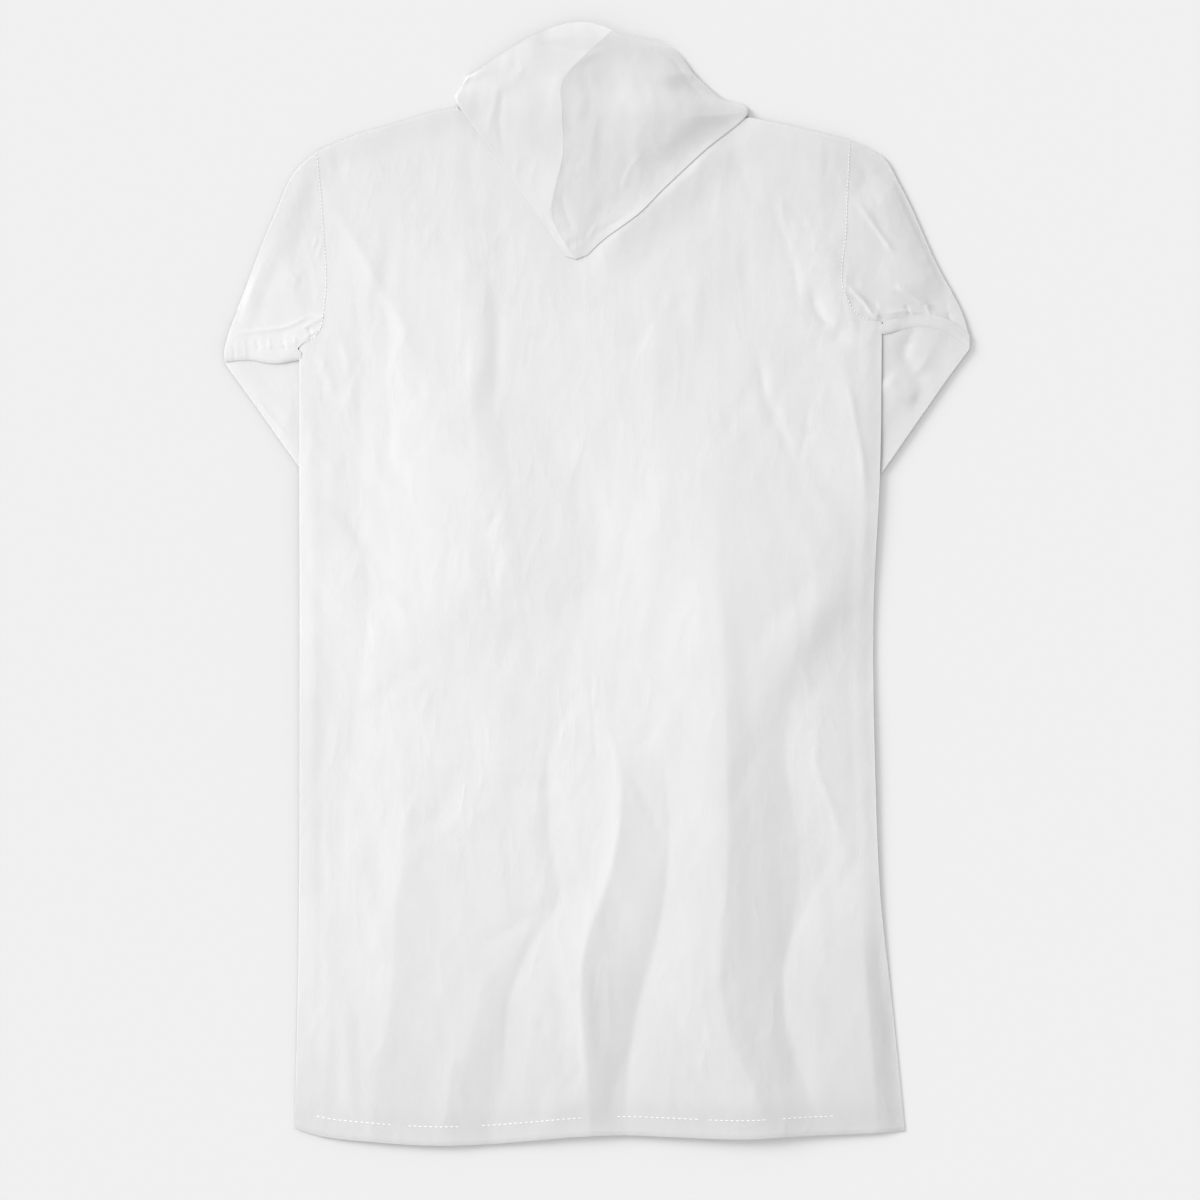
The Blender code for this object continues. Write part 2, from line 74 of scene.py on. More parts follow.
# Fineness of the grids, in points
COLUMNS = 236             # across a panel
LOW_ROWS = 150            # hem to underarm
HIGH_ROWS = 44            # underarm to shoulder
TURNED_ROWS = 7           # in the turned part of a hem
FRONT_SHARE = 0.4         # the hidden front is coarser
SLEEVE_COLUMNS = 84
ARM_ROWS = 90
BEND_ROWS = 12            # between the elbow pleat and the straight forearm
FOREARM_ROWS = 70
CUFF_ROWS = 6
ARC_STEPS = 4             # round a folded edge
HOOD_COLUMNS = 62
HOOD_FINENESS = (0.6, 1.0)      # the narrow left half of the hood is coarser
HOOD_ROWS = 24            # rows to one row of the hood table
NECK_SPLIT = 0.25         # share of a panel's columns on each shoulder
SAME_POINT = 0.02         # points this close are one
SMOOTH_ANGLE = 70         # degrees between faces that still shade as one surface

# Body outline: (across, up)
HEM = ((-324, -583), (-296, -591), (-243, -597), (-179, -601), (-125, -600), (-107, -599),
       (-61, -595), (-13, -591), (25, -590), (89, -592), (153, -594), (217, -591),
       (292, -588), (330, -586))
LEFT_SIDE = ((-324, -583), (-320, -400), (-318.5, -100), (-319, 255))
RIGHT_SIDE = ((330, -586), (317, -456), (304, -338), (298, -200), (296.5, -17),
              (303, 119), (305, 282))
LEFT_ARMHOLE = ((-319, 255), (-299, 269), (-292, 300), (-294, 390), (-300, 464))
RIGHT_ARMHOLE = ((305, 282), (283, 286), (266, 310), (267, 380), (271, 475))
LEFT_SHOULDER = ((-300, 464), (-264, 479), (-211, 495), (-178, 505), (-149.5, 511))
RIGHT_SHOULDER = ((271, 475), (217, 488), (163.5, 500))
NECK_CENTRE = -11
BACK_NECK_LOW = 495
FRONT_NECK_LOW = 440

# Sleeves
LEFT_OUTER = ((-300, 464), (-320, 447), (-346, 395), (-380, 309), (-396, 266), (-400, 250))
RIGHT_OUTER = ((271, 475), (291, 467), (307, 458), (323, 432), (366, 341), (393, 288),
               (400, 264))
LEFT_CREASE = ((-319.6, 252), (-345, 248), (-372, 252), (-400, 250))
RIGHT_CREASE = ((305.7, 279), (351, 288), (378, 280), (400, 264))
FOREARM_WIDTH = 135.0
LEFT_FOREARM = ((-370, 196), (0.58, -0.815), 282.0)     # outer corner, direction, length
RIGHT_FOREARM = ((375, 218), (-0.571, -0.821), 293.0)
LEFT_BEND = ((-323, 242), (-300, 240), (-272, 236), (-248, 222))
RIGHT_BEND = ((308, 268), (288, 266), (266, 260), (247, 246))
DOWN = np.array((0, -1.0))      # from the shoulders towards the hem
LIP_DEPTH = 12.0          # the elbow pleat hangs over the forearm by this much
LIP_LIFT = 0.45           # and lies this much above it
LIP_TUCK = 4.0            # its inner end laps over the side of the body by this much
LIP_RUN = 26.0            # the pleat's lift begins this far up the arm
TUCK_RUN = 0.08           # share of the arm's width over which the lapping end fades
TUCK_GROW = 1.2           # how much faster it grows than the pleat's height
BUMP_HEIGHT = 2.2         # the body is lifted this much by a forearm under it
BUMP_KEEP = 10.0          # up to this far past the forearm
BUMP_END = 110.0          # and no longer this far past it
BODY_EDGES = (319.0, 303.0)     # left and right side of the body over the forearms
SHOW_RUN = 22.0           # a forearm is pressed flat this far inside them
# Left and right forearm: share of its height left at the edge, over this width, and height
FOREARM_PUFF = ((0.75, 18.0, 2.0), (0.45, 36.0, 3.4))
PLEAT_SWELL = 0.4         # a forearm is this much higher under the pleat
SWELL_RUN = 40.0          # and comes down over this
ARM_LIFT = (1.0, 2.0)     # height that a sleeve's outer edge floats at, start and end

# Elbow pleat, from the upper arm to the forearm: how far each line of the upper layer and
# of the lower layer lies past the crease, and the share of the upper arm's height
PLEAT = (
    # upper  lower  height share
    (0.0, 0.0, 1.0),
    (4.0, 1.0, 1.0),
    (8.0, 2.0, 0.96),
    (10.6, 3.0, 0.80),
    (12.0, 4.0, 0.50),
    (10.8, 5.0, 0.22),
    (8.0, 6.0, 0.12),
    (3.0, 7.0, 0.10),
    (-1.0, 8.0, 0.08),
    (-2.0, 9.0, 0.04),
    (-1.0, 10.0, 0.0),
    (4.0, 11.0, 0.0),
    (12.0, 12.0, 0.0),
)

# Hood: centre seam, left edge and right edge of each section, tip to face edge, how far
# the section bows up on the left and on the right, and how high its seam stands
HOOD = (
    # seam x, y    left x, y     right x, y    bows    height
    (-22.5, 348.5, -34, 351.5, -11, 352.5, 0, 0, 0.3),
    (-34.0, 365.0, -49, 375.0, 8, 370.0, 0, 0, 1.0),
    (-48.0, 395.0, -66, 399.0, 45, 397.0, 0, 0, 1.8),
    (-44.0, 424.0, -83, 424.0, 72, 424.0, 0, 0, 2.8),
    (-36.0, 464.0, -112, 464.0, 115, 464.0, 0, 0, 4.2),
    (-37.0, 504.0, -148.5, 513.5, 162, 505.0, 0, 0, 6.2),
    (-34.0, 542.0, -146, 531.0, 135, 520.0, 8, 5, 7.8),
    (16.0, 592.5, -137, 545.0, 106, 542.0, 22, 15, 8.4),
)
# Columns of that table at which the seam, the two edges, the two bows and the height begin
SEAM, EDGES, BOWS, STANDS = 0, (2, 4), (6, 7), 8
BOW_SKEW = (1.0, -2.0)    # how the bow leans, left and right
HOOD_NECK = 5             # section that lies at the neck
HOOD_LAYER = 0.3          # from the back to the hood's lower layer, and on to its upper one
HOOD_PUFF = 1.2           # the upper layer stands this much higher between its edges
HOOD_ROLL = 40.0          # and comes down to an edge over this
ROLL_END = 6.0            # but not at the sections past this one
HOOD_EDGE = 0.6           # past the neck the outer edge floats this high
DROP_ROWS = 1.5           # sections over which the hood comes down to the ground
HOOD_STAND = 0.1          # its right lower edge stands off the back this much
STAND_STRIP = 60.0        # over this width along the edge
STAND_RUN = 40.0          # growing over this width across
STAND_SHIFT = 0.6         # share of that which lies left of the centre
STAND_ROWS = 1.5          # and over this many sections from the tip
HOOD_END = 3.6            # its right end falls off by this much more
END_RUN = 90.0            # growing over this from the centre to the right
END_ROWS = (3.5, 1.5, 7.0, 1.0)     # section it starts at, rows to grow, end, rows to fade
HOOD_BELLY = 1.0          # the right half bulges by this much
BELLY_ROWS = (2.5, 2.0, 7.0, 1.5)   # the same four for the bulge
FALL_POWER = 1.5          # the right half falls from the seam as its width to this power
FALL_LESS = 0.5           # which is less by this much past the neck
CHIN_HEIGHT = 12.0        # the lower edge rises this far from the neck to the chin
UNDER_HOOD = 0.4          # share of the folds' height that is left under the hood
UNDER_RUN = 50.0          # reached over this, half of it outside the hood
STRIP_GAP = 0.4           # clear space between the hood's lower edge and the front
STRIP_POINTS = 24
EDGE_STEP = 0.1           # sections to each side when the edge's direction is taken
SEAM_HALF = 0.05          # half of the space between the two halves

# Large folds of the back: place across and height of each crest or valley, at these
# heights up the garment
LEVELS = (411, 272, 133, -17, -167, -306, -445, -584)
FOLDS = (
    # name, place across at each level, height at each level
    ("left edge", (-350, -345, -322, -320, -320, -320, -321, -324),
     (1.4, 2.0, 3.2, 4.0, 4.2, 2.8, 1.4, 0.8)),
    ("left hollow", (-280, -259, -254, -245, -262, -275, -284, -291),
     (1.4, 0.4, 0.6, 0.3, 0.8, 3.0, 4.0, 2.2)),
    ("left crest", (-262, -239, -221, -207, -209, -207, -221, -241),
     (1.2, 0.6, 0.6, 0.6, 1.0, 4.4, 6.4, 4.6)),
    ("left dip", (-189, -177, -168, -157, -155, -152, -157, -196),
     (0.7, 1.4, 1.7, 1.0, 0.6, 3.2, 6.8, 5.2)),
    ("blade crest", (-144, -138, -127, -109, -104, -98, -127, -156),
     (0.7, 2.2, 2.2, 1.0, 0.9, 3.0, 7.4, 6.2)),
    ("blade foot", (-104, -104, -94, -75, -77, -72, -108, -112),
     (0.5, 0.5, 0.9, 0.6, 0.3, 3.0, 7.0, 4.4)),
    ("middle valley", (-40, -31, -25, -16, -48, -46, -93, -98),
     (0.5, 0.4, 0.4, 0.6, 0.3, 3.2, 6.9, 4.8)),
    ("middle crest", (30, 41, 46, 30, 16, 11, -10, -6),
     (1.5, 2.0, 2.0, 2.4, 2.1, 4.8, 8.6, 8.2)),
    ("wedge valley", (57, 62, 67, 57, 37, 74, 44, 28),
     (2.0, 2.7, 2.4, 3.6, 3.0, 5.2, 5.8, 6.0)),
    ("right crest", (110, 116, 123, 134, 139, 140, 134, 186),
     (3.2, 2.9, 2.6, 7.2, 8.2, 7.6, 9.8, 11.6)),
    ("right valley", (196, 217, 217, 235, 202, 217, 201, 238),
     (4.8, 3.0, 2.2, 6.2, 4.4, 1.0, 4.4, 6.4)),
    ("lens crest", (239, 258, 284, 280, 235, 276, 290, 300),
     (5.2, 4.4, 3.6, 3.0, 5.4, 3.2, 4.8, 4.6)),
    ("right edge", (370, 400, 324, 319, 303, 308, 316, 330),
     (0.2, 0.0, 1.6, 0.4, 3.4, 3.0, 0.0, 0.0)),
)

# Share of its stated height that a crease has, share of its length over which each of its
# ends fades, and points on the smooth line to one stated point
CREASE_SHARE = 0.3
CREASE_FADE = 0.25
CREASE_POINTS = 4

# Creases that lie on top of the folds of the back and the upper arms. For each: its line,
# how wide its flank is on the right and on the left of the line as one walks along it, its
# height (a valley is negative), and its form
CREASES = (
    # name, line, right width, left width, height, form
    ("shoulder ridge", ((-294, 422), (-270, 384), (-248, 347), (-232, 315), (-211, 282),
                        (-192, 224)), 16, 20, 2.6, "sharp"),
    ("hood rest", ((-16, 342), (46, 396), (110, 452), (150, 497)), 46, 90, 12.0, "sharp"),
    ("right arm round", ((292, 440), (318, 384), (344, 326), (362, 294)), 60, 34, 9.0, "soft"),
    ("left arm swell", ((-394, 300), (-350, 312), (-306, 322)), 56, 70, 3.0, "soft"),
    ("left side shade", ((-236, 350), (-232, 287), (-230, 240), (-232, 120)), 34, 26, -3.6, "soft"),
    ("shoulder ridge foot", ((-248, 347), (-245, 250), (-232, 154)), 16, 12, 0.6, "soft"),
    ("blade ridge", ((-120, 352), (-119, 290), (-124, 200)), 22, 20, 3.0, "soft"),
    ("blade valley", ((-125, 377), (-112, 304), (-112, 165)), 26, 13, -2.2, "soft"),
    ("spine fall", ((-104, 170), (-101, -17)), 20, 60, 1.6, "soft"),
    ("waist nick", ((-104, 81), (-119, 56)), 6, 7, -1.8, "sharp"),
    ("left pocket of light", ((-266, 93), (-262, 68), (-243, 26), (-238, -49)), 26, 45, -2.2, "sharp"),
    ("left wisp", ((-168, 26), (-179, 4)), 5, 6, 1.0, "sharp"),
    ("left hook", ((-141, 15), (-120, -1), (-120, -30)), 6, 6, 1.1, "sharp"),
    ("middle wisp", ((-74, -6), (-71, -30)), 5, 6, 0.9, "sharp"),
    ("low wisp", ((-179, -113), (-189, -140)), 5, 6, 0.9, "sharp"),
    ("lower wisp", ((-189, -220), (-205, -253)), 6, 6, 0.9, "sharp"),
    ("long bend", ((-18, -39), (-29, -71), (-48, -146), (-48, -295), (-40, -338), (-61, -370),
                   (-91, -434), (-104, -552), (-114, -595)), 22, 42, -2.8, "sharp"),
    ("side step", ((-40, -338), (-104, -376), (-136, -392)), 16, 14, -1.6, "sharp"),
    ("spine line", ((-7, -92), (0, -199)), 6, 6, -1.1, "sharp"),
    ("spine hook", ((-5, -208), (-29, -231)), 5, 6, -1.1, "sharp"),
    ("spine wrinkle", ((-26, -263), (3, -277)), 5, 5, 0.8, "sharp"),
    ("wedge crest", ((3, -124), (25, -210), (22, -274), (12, -317), (-14, -392), (-14, -499),
                     (-7, -592)), 30, 40, 5.4, "sharp"),
    ("wedge valley", ((25, -167), (67, -188), (76, -231), (73, -327), (62, -392), (46, -445),
                      (30, -531), (26, -592)), 34, 42, -3.4, "sharp"),
    ("right crest", ((110, 47), (134, -60), (140, -231), (140, -445)), 46, 26, 2.2, "soft"),
    ("cross fold", ((290, 13), (228, -41), (198, -87), (172, -172)), 36, 30, 3.2, "soft"),
    ("lens valley", ((265, -263), (244, -306), (217, -360), (201, -402), (200, -445),
                     (207, -499), (223, -541), (244, -576)), 30, 42, -3.0, "sharp"),
    ("right nick", ((217, -87), (230, -113)), 7, 9, 1.4, "sharp"),
    ("right wisp", ((241, -156), (233, -188), (249, -231), (265, -285)), 8, 10, 1.6, "sharp"),
    ("left hem crest", ((-152, -493), (-166, -595)), 22, 42, 2.0, "sharp"),
    ("corner ridge", ((-270, -434), (-264, -574)), 14, 15, 1.8, "soft"),
    ("left fall", ((-200, -279), (-211, -317), (-221, -445), (-238, -536)), 42, 42, 2.2, "sharp"),
    ("low wrinkle one", ((102, -445), (134, -462)), 5, 6, 1.0, "sharp"),
    ("low wrinkle two", ((110, -477), (150, -501)), 6, 6, 1.1, "sharp"),
    ("low wrinkle three", ((114, -509), (159, -532)), 5, 6, 1.0, "sharp"),
    ("low wrinkle four", ((-21, -482), (-48, -505)), 5, 6, 1.0, "sharp"),
    ("low wrinkle five", ((-16, -509), (-44, -538)), 5, 6, 1.0, "sharp"),
    ("right shoulder nick", ((210, 413), (234, 383)), 7, 8, 1.5, "sharp"),
    ("right shoulder ridge", ((204, 385), (256, 346)), 8, 9, 1.6, "sharp"),
    ("underarm line", ((221, 338), (266, 333)), 5, 7, 1.2, "sharp"),
    ("underarm arc", ((233, 317), (245, 280), (277, 260)), 12, 20, -1.8, "sharp"),
    ("shoulder drop one", ((158, 398), (162, 312)), 13, 10, -0.8, "soft"),
    ("shoulder drop two", ((185, 434), (207, 347), (220, 272)), 15, 12, -1.2, "soft"),
    ("blade arc", ((177, 242), (180, 197), (217, 125)), 13, 12, -1.6, "sharp"),
    ("bright line", ((262, 224), (273, 197), (281, 154), (287, 98)), 5, 8, 1.6, "sharp"),
    ("right sleeve streak", ((281, 406), (320, 351)), 6, 8, 4.0, "sharp"),
    ("right sleeve fan", ((317, 321), (364, 292)), 6, 8, 4.0, "sharp"),
    ("left shoulder nick", ((-236, 443), (-218, 428)), 6, 7, 1.0, "sharp"),
    ("left blade nick", ((-199, 407), (-182, 393)), 6, 7, 1.0, "sharp"),
    ("left blade nick two", ((-186, 380), (-169, 366)), 6, 7, 1.0, "sharp"),
    ("left armhole nick", ((-293, 374), (-301, 345)), 4, 5, 1.0, "sharp"),
    ("left underarm one", ((-320, 280), (-286, 258)), 5, 6, 1.2, "sharp"),
    ("left underarm two", ((-311, 287), (-288, 285)), 4, 5, 1.0, "sharp"),
    ("left sleeve fold", ((-308, 440), (-324, 392), (-346, 340)), 20, 16, 1.6, "soft"),
    ("left sleeve nick", ((-299, 372), (-305, 360)), 4, 4, 1.3, "sharp"),
    ("left sleeve dent", ((-331, 334), (-318, 323)), 6, 6, 0.8, "sharp"),
    ("left shoulder dip", ((-286, 464), (-270, 441)), 10, 12, -1.4, "soft"),
    ("left armpit pucker", ((-317, 272), (-301, 282), (-288, 288)), 4, 5, 1.5, "sharp"),
    ("left armpit pucker two", ((-314, 263), (-299, 272), (-290, 280)), 3.5, 4, 1.2, "sharp"),
    ("left armpit fan", ((-285, 280), (-270, 248), (-264, 218)), 8, 14, 1.8, "sharp"),
    ("left armpit fan two", ((-301, 253), (-288, 220), (-281, 201)), 8, 10, 1.4, "soft"),
    ("left elbow band", ((-398, 251), (-372, 256), (-345, 255), (-319, 259),
                         (-297, 274)), 6, 7, 0.6, "sharp"),
    ("left elbow pucker one", ((-391, 258), (-387, 248)), 4, 4, -1.0, "sharp"),
    ("left elbow pucker two", ((-379, 262), (-376, 250)), 4, 4, 0.9, "sharp"),
    ("left elbow pucker three", ((-366, 263), (-362, 250)), 4, 5, -1.1, "sharp"),
    ("left elbow pucker four", ((-351, 264), (-350, 250)), 5, 4, 1.1, "sharp"),
    ("left elbow pucker five", ((-338, 262), (-333, 250)), 4, 5, -1.2, "sharp"),
    ("left elbow pucker six", ((-325, 266), (-321, 255)), 4, 4, 1.1, "sharp"),
    ("left elbow pucker seven", ((-310, 276), (-304, 262)), 5, 4, -1.8, "sharp"),
    ("left elbow line", ((-392, 268), (-360, 271), (-330, 276), (-304, 290)), 4, 6, 1.6, "sharp"),
    ("forearm show one", ((-315, 170), (-294, 141), (-275, 111)), 9, 9, 1.2, "sharp"),
    ("forearm show two", ((-270, 141), (-266, 113)), 6, 6, -0.9, "sharp"),
    ("left trough", ((-262, 350), (-257, 287), (-251, 240), (-250, 120)), 8, 18, -1.2, "sharp"),
    ("left light fold", ((-247, 345), (-243, 304), (-239, 261), (-232, 197)), 14, 10, 0.8, "sharp"),
    ("left tail", ((-196, 216), (-185, 197)), 8, 8, -1.0, "soft"),
    ("right sleeve short streak", ((275, 411), (288, 398)), 5, 5, 1.2, "sharp"),
    ("right armhole weld crumple", ((258, 441), (277, 430)), 5, 5, 1.2, "sharp"),
    ("right shoulder line one", ((192, 419), (202, 383), (213, 345)), 8, 10, 1.6, "sharp"),
    ("right shoulder line two", ((199, 387), (210, 345), (217, 304)), 7, 8, -1.2, "sharp"),
    ("right fan one", ((228, 368), (262, 345)), 6, 7, 3.0, "sharp"),
    ("right fan two", ((226, 345), (265, 340)), 4.5, 5, 2.4, "sharp"),
    ("right fan three", ((241, 324), (263, 330)), 4.5, 5, 1.1, "sharp"),
    ("right fan four", ((251, 308), (263, 321)), 4.5, 5, 1.0, "sharp"),
    ("underarm facet", ((230, 321), (236, 291), (256, 270), (277, 258)), 26, 12, -5.0, "sharp"),
    ("underarm weld", ((268, 338), (266, 315), (272, 285), (278, 259)), 6, 6, 1.6, "sharp"),
    ("underarm pleat", ((264, 322), (284, 304), (296, 289), (312, 281)), 5, 7, 5.0, "sharp"),
    ("right elbow band", ((300, 288), (330, 292), (360, 287), (392, 272)), 6, 7, 1.6, "sharp"),
    ("right elbow pucker one", ((330, 300), (336, 286)), 5, 4, -2.2, "sharp"),
    ("right elbow pucker two", ((352, 300), (358, 284)), 4, 5, 2.2, "sharp"),
    ("right elbow pucker three", ((376, 292), (380, 276)), 4, 4, -2.0, "sharp"),
    ("underarm pleat two", ((271, 308), (288, 297), (301, 286)), 3, 3, -1.4, "sharp"),
    ("side pouch", ((278, 256), (294, 265), (299, 280)), 6, 7, 1.6, "sharp"),
    ("elbow crease", ((307, 282), (330, 285), (348, 288)), 6, 6, -1.6, "sharp"),
    ("right blade dark", ((171, 256), (177, 213), (194, 175), (217, 127)), 9, 14, -1.6, "sharp"),
    ("right blade light", ((194, 199), (204, 165), (215, 131)), 9, 12, 0.6, "sharp"),
    ("right blade dark two", ((230, 205), (224, 165), (215, 124)), 10, 8, -1.3, "sharp"),
    ("right bright facet", ((262, 224), (271, 202), (277, 165), (286, 122),
                            (288, 95)), 26, 7, 2.0, "sharp"),
    ("right shoulder wave", ((192, 494), (215, 473)), 7, 8, 1.0, "soft"),
)

HOOD_CREASES = (
    # name, line, right width, left width, height, form
    ("seam crest", ((16, 590), (3, 571), (-24, 555), (-36, 544), (-37, 507), (-35, 464),
                    (-45, 426), (-51, 395), (-44, 365)), 34, 10, 1.8, "sharp"),
    ("left rim", ((-152, 544), (-132, 568), (-98, 588), (-52, 602)), 66, 8, 17.0, "sharp"),
    ("rim facet", ((-72, 544), (-37, 544)), 14, 16, -1.2, "sharp"),
    ("rim facet edge", ((-89, 574), (-88, 546)), 10, 8, -1.0, "sharp"),
    ("rim band low", ((-72, 578), (-40, 576), (-13, 571), (10, 578)), 8, 7, -1.6, "sharp"),
    ("rim roll one", ((-63, 586), (-29, 584), (12, 585)), 3.5, 4, 1.1, "sharp"),
    ("rim roll two", ((-56, 581), (-24, 578), (3, 575)), 3, 4, 0.9, "sharp"),
    ("rim pucker", ((-5, 588), (3, 578), (10, 586)), 4, 4, 1.0, "sharp"),
    ("left crease", ((-107, 539), (-110, 513), (-120, 480)), 7, 9, 1.6, "sharp"),
    ("left crease two", ((-101, 533), (-104, 496), (-101, 462)), 6, 7, -1.3, "sharp"),
    ("left edge fold", ((-129, 548), (-136, 518), (-132, 486)), 8, 10, 1.0, "soft"),
    ("seam pleat", ((-42, 535), (-48, 520), (-44, 505)), 5, 5, 0.9, "sharp"),
    ("right dip", ((-20, 548), (-7, 523), (-12, 486)), 10, 12, -1.4, "soft"),
    ("right crest", ((35, 565), (40, 539), (45, 513), (45, 443), (34, 396)), 34, 80, 2.0, "sharp"),
    ("right valley", ((10, 539), (7, 486), (3, 422)), 14, 18, -1.4, "soft"),
    ("right streak", ((48, 460), (35, 445), (27, 422)), 6, 7, 1.1, "sharp"),
    ("side streak", ((55, 488), (67, 464), (85, 454)), 7, 8, 1.0, "sharp"),
    ("right rim groove", ((62, 576), (83, 559), (104, 531), (127, 511)), 7, 7, -1.4, "sharp"),
    ("tip valley", ((-40, 422), (-33, 395), (-25, 373)), 8, 10, -1.3, "sharp"),
    ("tip dent", ((-33, 364), (-16, 368)), 7, 7, -1.0, "soft"),
    ("low streak", ((0, 387), (-10, 368)), 6, 7, 0.9, "sharp"),
)

FOREARM_CREASES = (
    # name, line, right width, left width, height, form
    ("right forearm patch", ((337, 272), (330, 245), (356, 212)), 16, 12, -5.0, "sharp"),
    ("right forearm nick one", ((351, 270), (363, 256)), 4, 4, 1.2, "sharp"),
    ("right forearm nick two", ((365, 268), (371, 259)), 4, 4, 1.0, "sharp"),
    ("right forearm streak", ((337, 235), (354, 214), (369, 205)), 5, 6, 1.4, "sharp"),
    ("right forearm crest", ((345, 196), (322, 206), (306, 222)), 26, 20, 6.0, "sharp"),
    ("right forearm light", ((356, 250), (346, 227)), 6, 7, 1.0, "sharp"),
    ("left forearm edge one", ((-377, 202), (-358, 175), (-337, 148)), 3, 3, 1.2, "sharp"),
    ("left forearm edge two", ((-369, 205), (-350, 180), (-328, 154)), 3, 3, 0.9, "sharp"),
    ("left forearm fold", ((-363, 213), (-339, 192), (-322, 163)), 10, 14, 1.4, "soft"),
)

# Small crumples: spread of their direction about the garment's length, in radians; share of
# the longest that they reach; how much wider one flank is than the other; and how late
# along its length a crumple fades
CRUMPLE_SPREAD = 0.45
CRUMPLE_LENGTHS = (0.3, 1.0)
CRUMPLE_LEANS = (0.6, 1.8)
CRUMPLE_END = 1.4
# Where, how many, longest, narrowest, widest, highest, and seed
CRUMPLES = (
    ((-320, -590, 320, 500), 300, 150.0, 10.0, 30.0, 0.36, 11),
    ((-320, -590, 320, 500), 420, 46.0, 4.0, 8.0, 0.12, 17),
    ((60, -560, 190, -400), 40, 34.0, 4.0, 8.0, 0.3, 12),
    ((200, 150, 310, 450), 40, 36.0, 4.0, 8.0, 0.3, 13),
    ((-60, -560, 20, -200), 40, 34.0, 4.0, 8.0, 0.25, 14),
    ((-400, 230, -318, 460), 40, 30.0, 3.0, 9.0, 0.12, 15),
    ((275, 280, 400, 460), 46, 44.0, 3.0, 9.0, 0.26, 16),
)
FOREARM_CRUMPLES = (
    ((-400, -40, 0, 270), 80, 30.0, 3.5, 8.0, 0.2, 31),
    ((0, -40, 400, 270), 80, 30.0, 3.0, 8.0, 0.34, 32),
)
HOOD_CRUMPLES = (
    ((-150, 350, 165, 600), 90, 60.0, 5.0, 16.0, 0.3, 41),
    ((-150, 350, 165, 600), 120, 30.0, 3.0, 8.0, 0.14, 42),
)

# Hem weld: where its line of dashes shows, as shares of the hem from left to right
HEM_WELDS = ((0.04, 0.16), (0.19, 0.27), (0.31, 0.47), (0.53, 0.66), (0.68, 0.77), (0.80, 0.88))
WELD_INSET = 3.0          # from the top of the turned hem down to its weld
WELD_POINTS = 300         # on the line of a weld
WELD_ENDS = 10            # points left free at each end of an armhole
# Dashes of a weld: spacing, length, width, height, and how far above the film
HEM_DASH = (5.6, 4.0, 1.0, 0.3, 0.05)
ARMHOLE_DASH = (4.0, 2.8, 1.6, 0.5, 0.1)

# Light: from the upper left. The low one shapes the film only, and so does the near one,
# whose light falls off towards the lower right. Both are matt fill light: they are kept off
# the paper and give no shine.
SUNS = (
    # name, toward it, strength, width in degrees, on the film only
    ("key_light", (-0.80, 0.50, 0.42), 2.1, 26, False),
    ("low_light", (-0.80, 0.45, 0.30), 2.62, 36, True),
)
NEAR_PLACE = (-1.1, -0.02, 0.8)     # metres
NEAR_TARGET = (-0.25, 0.05, 0.0)
NEAR_SIZE = 0.7
NEAR_SPREAD = 80          # degrees
NEAR_WATTS = 1.85
WORLD_LIGHT = 0.807

# Paper and camera, in metres; lens and film width in millimetres
FLOOR_HALF = 40.0         # wide enough that no view shows its edge
CAMERA_PLACE = (0.0032, -0.0171, 3.575)
CAMERA_LENS = 100
CAMERA_WIDTH = 36

# Colours
FILM_MILK = "#D9D9D9"
FILM_THIN = "#D7D7D7"
# The hood is the same film painted a little darker: painted shade for the shade that its folds and
# layers lie in, not a colour of its own
HOOD_PAINTED_SHADE_MILK = "#D7D7D7"
HOOD_PAINTED_SHADE_THIN = "#D4D4D4"
WELD_MILK = "#E0E0E0"
FLOOR_PAPER = "#E8E8E8"

# How much each film hides. The front lies lowest and closes the view of the paper.
FILM_ALPHA = 0.6
FRONT_ALPHA = 1.0
WELD_ALPHA = 0.7

# Size of the film's crinkles and cloudy patches. The grain that the hot wheel leaves in a
# weld is finer than this, and is drawn as coarse as it needs to show.
CRINKLE = 26.0
CRINKLE_DEPTH = 0.4
CLOUD = 30.0
WELD_GRAIN = 2.0
WELD_DEPTH = 0.2


# ---------------------------------------------------------------- shapes in the plane

def ease(share):
    """0 to 1 with level ends."""
    share = np.clip(share, 0.0, 1.0)
    return share * share * (3 - 2 * share)


def hermite(stations, values, wanted):
    """Smooth values between stations; each row of values is one quantity."""
    slopes = np.gradient(values, stations, axis=-1)
    left = np.clip(np.searchsorted(stations, wanted) - 1, 0, len(stations) - 2)
    step = stations[left + 1] - stations[left]
    t = np.clip((wanted - stations[left]) / step, 0.0, 1.0)
    start = values[..., left] * (1 + 2 * t) * (1 - t) ** 2
    end = values[..., left + 1] * t * t * (3 - 2 * t)
    bend = slopes[..., left] * t * (1 - t) ** 2 - slopes[..., left + 1] * t * t * (1 - t)
    return start + end + bend * step


def curve(points):
    """A smooth curve through the points, as a function of shares of its length."""
    points = np.array(points, float)
    run = np.concatenate([[0], np.cumsum(np.linalg.norm(np.diff(points, axis=0), axis=1))])
    stations = run / run[-1]
    return lambda shares: hermite(stations, points.T, np.atleast_1d(shares).astype(float)).T


def patch_grid(bottom, top, left, right, across, up):
    """Rows of points inside four boundary curves."""
    s, r = across[None, :, None], up[:, None, None]
    low, high = bottom(across)[None], top(across)[None]
    sides = (1 - s) * left(up)[:, None] + s * right(up)[:, None]
    corners = (1 - r) * ((1 - s) * low[:, :1] + s * low[:, -1:])
    corners = corners + r * ((1 - s) * high[:, :1] + s * high[:, -1:])
    return (1 - r) * low + r * high + sides - corners


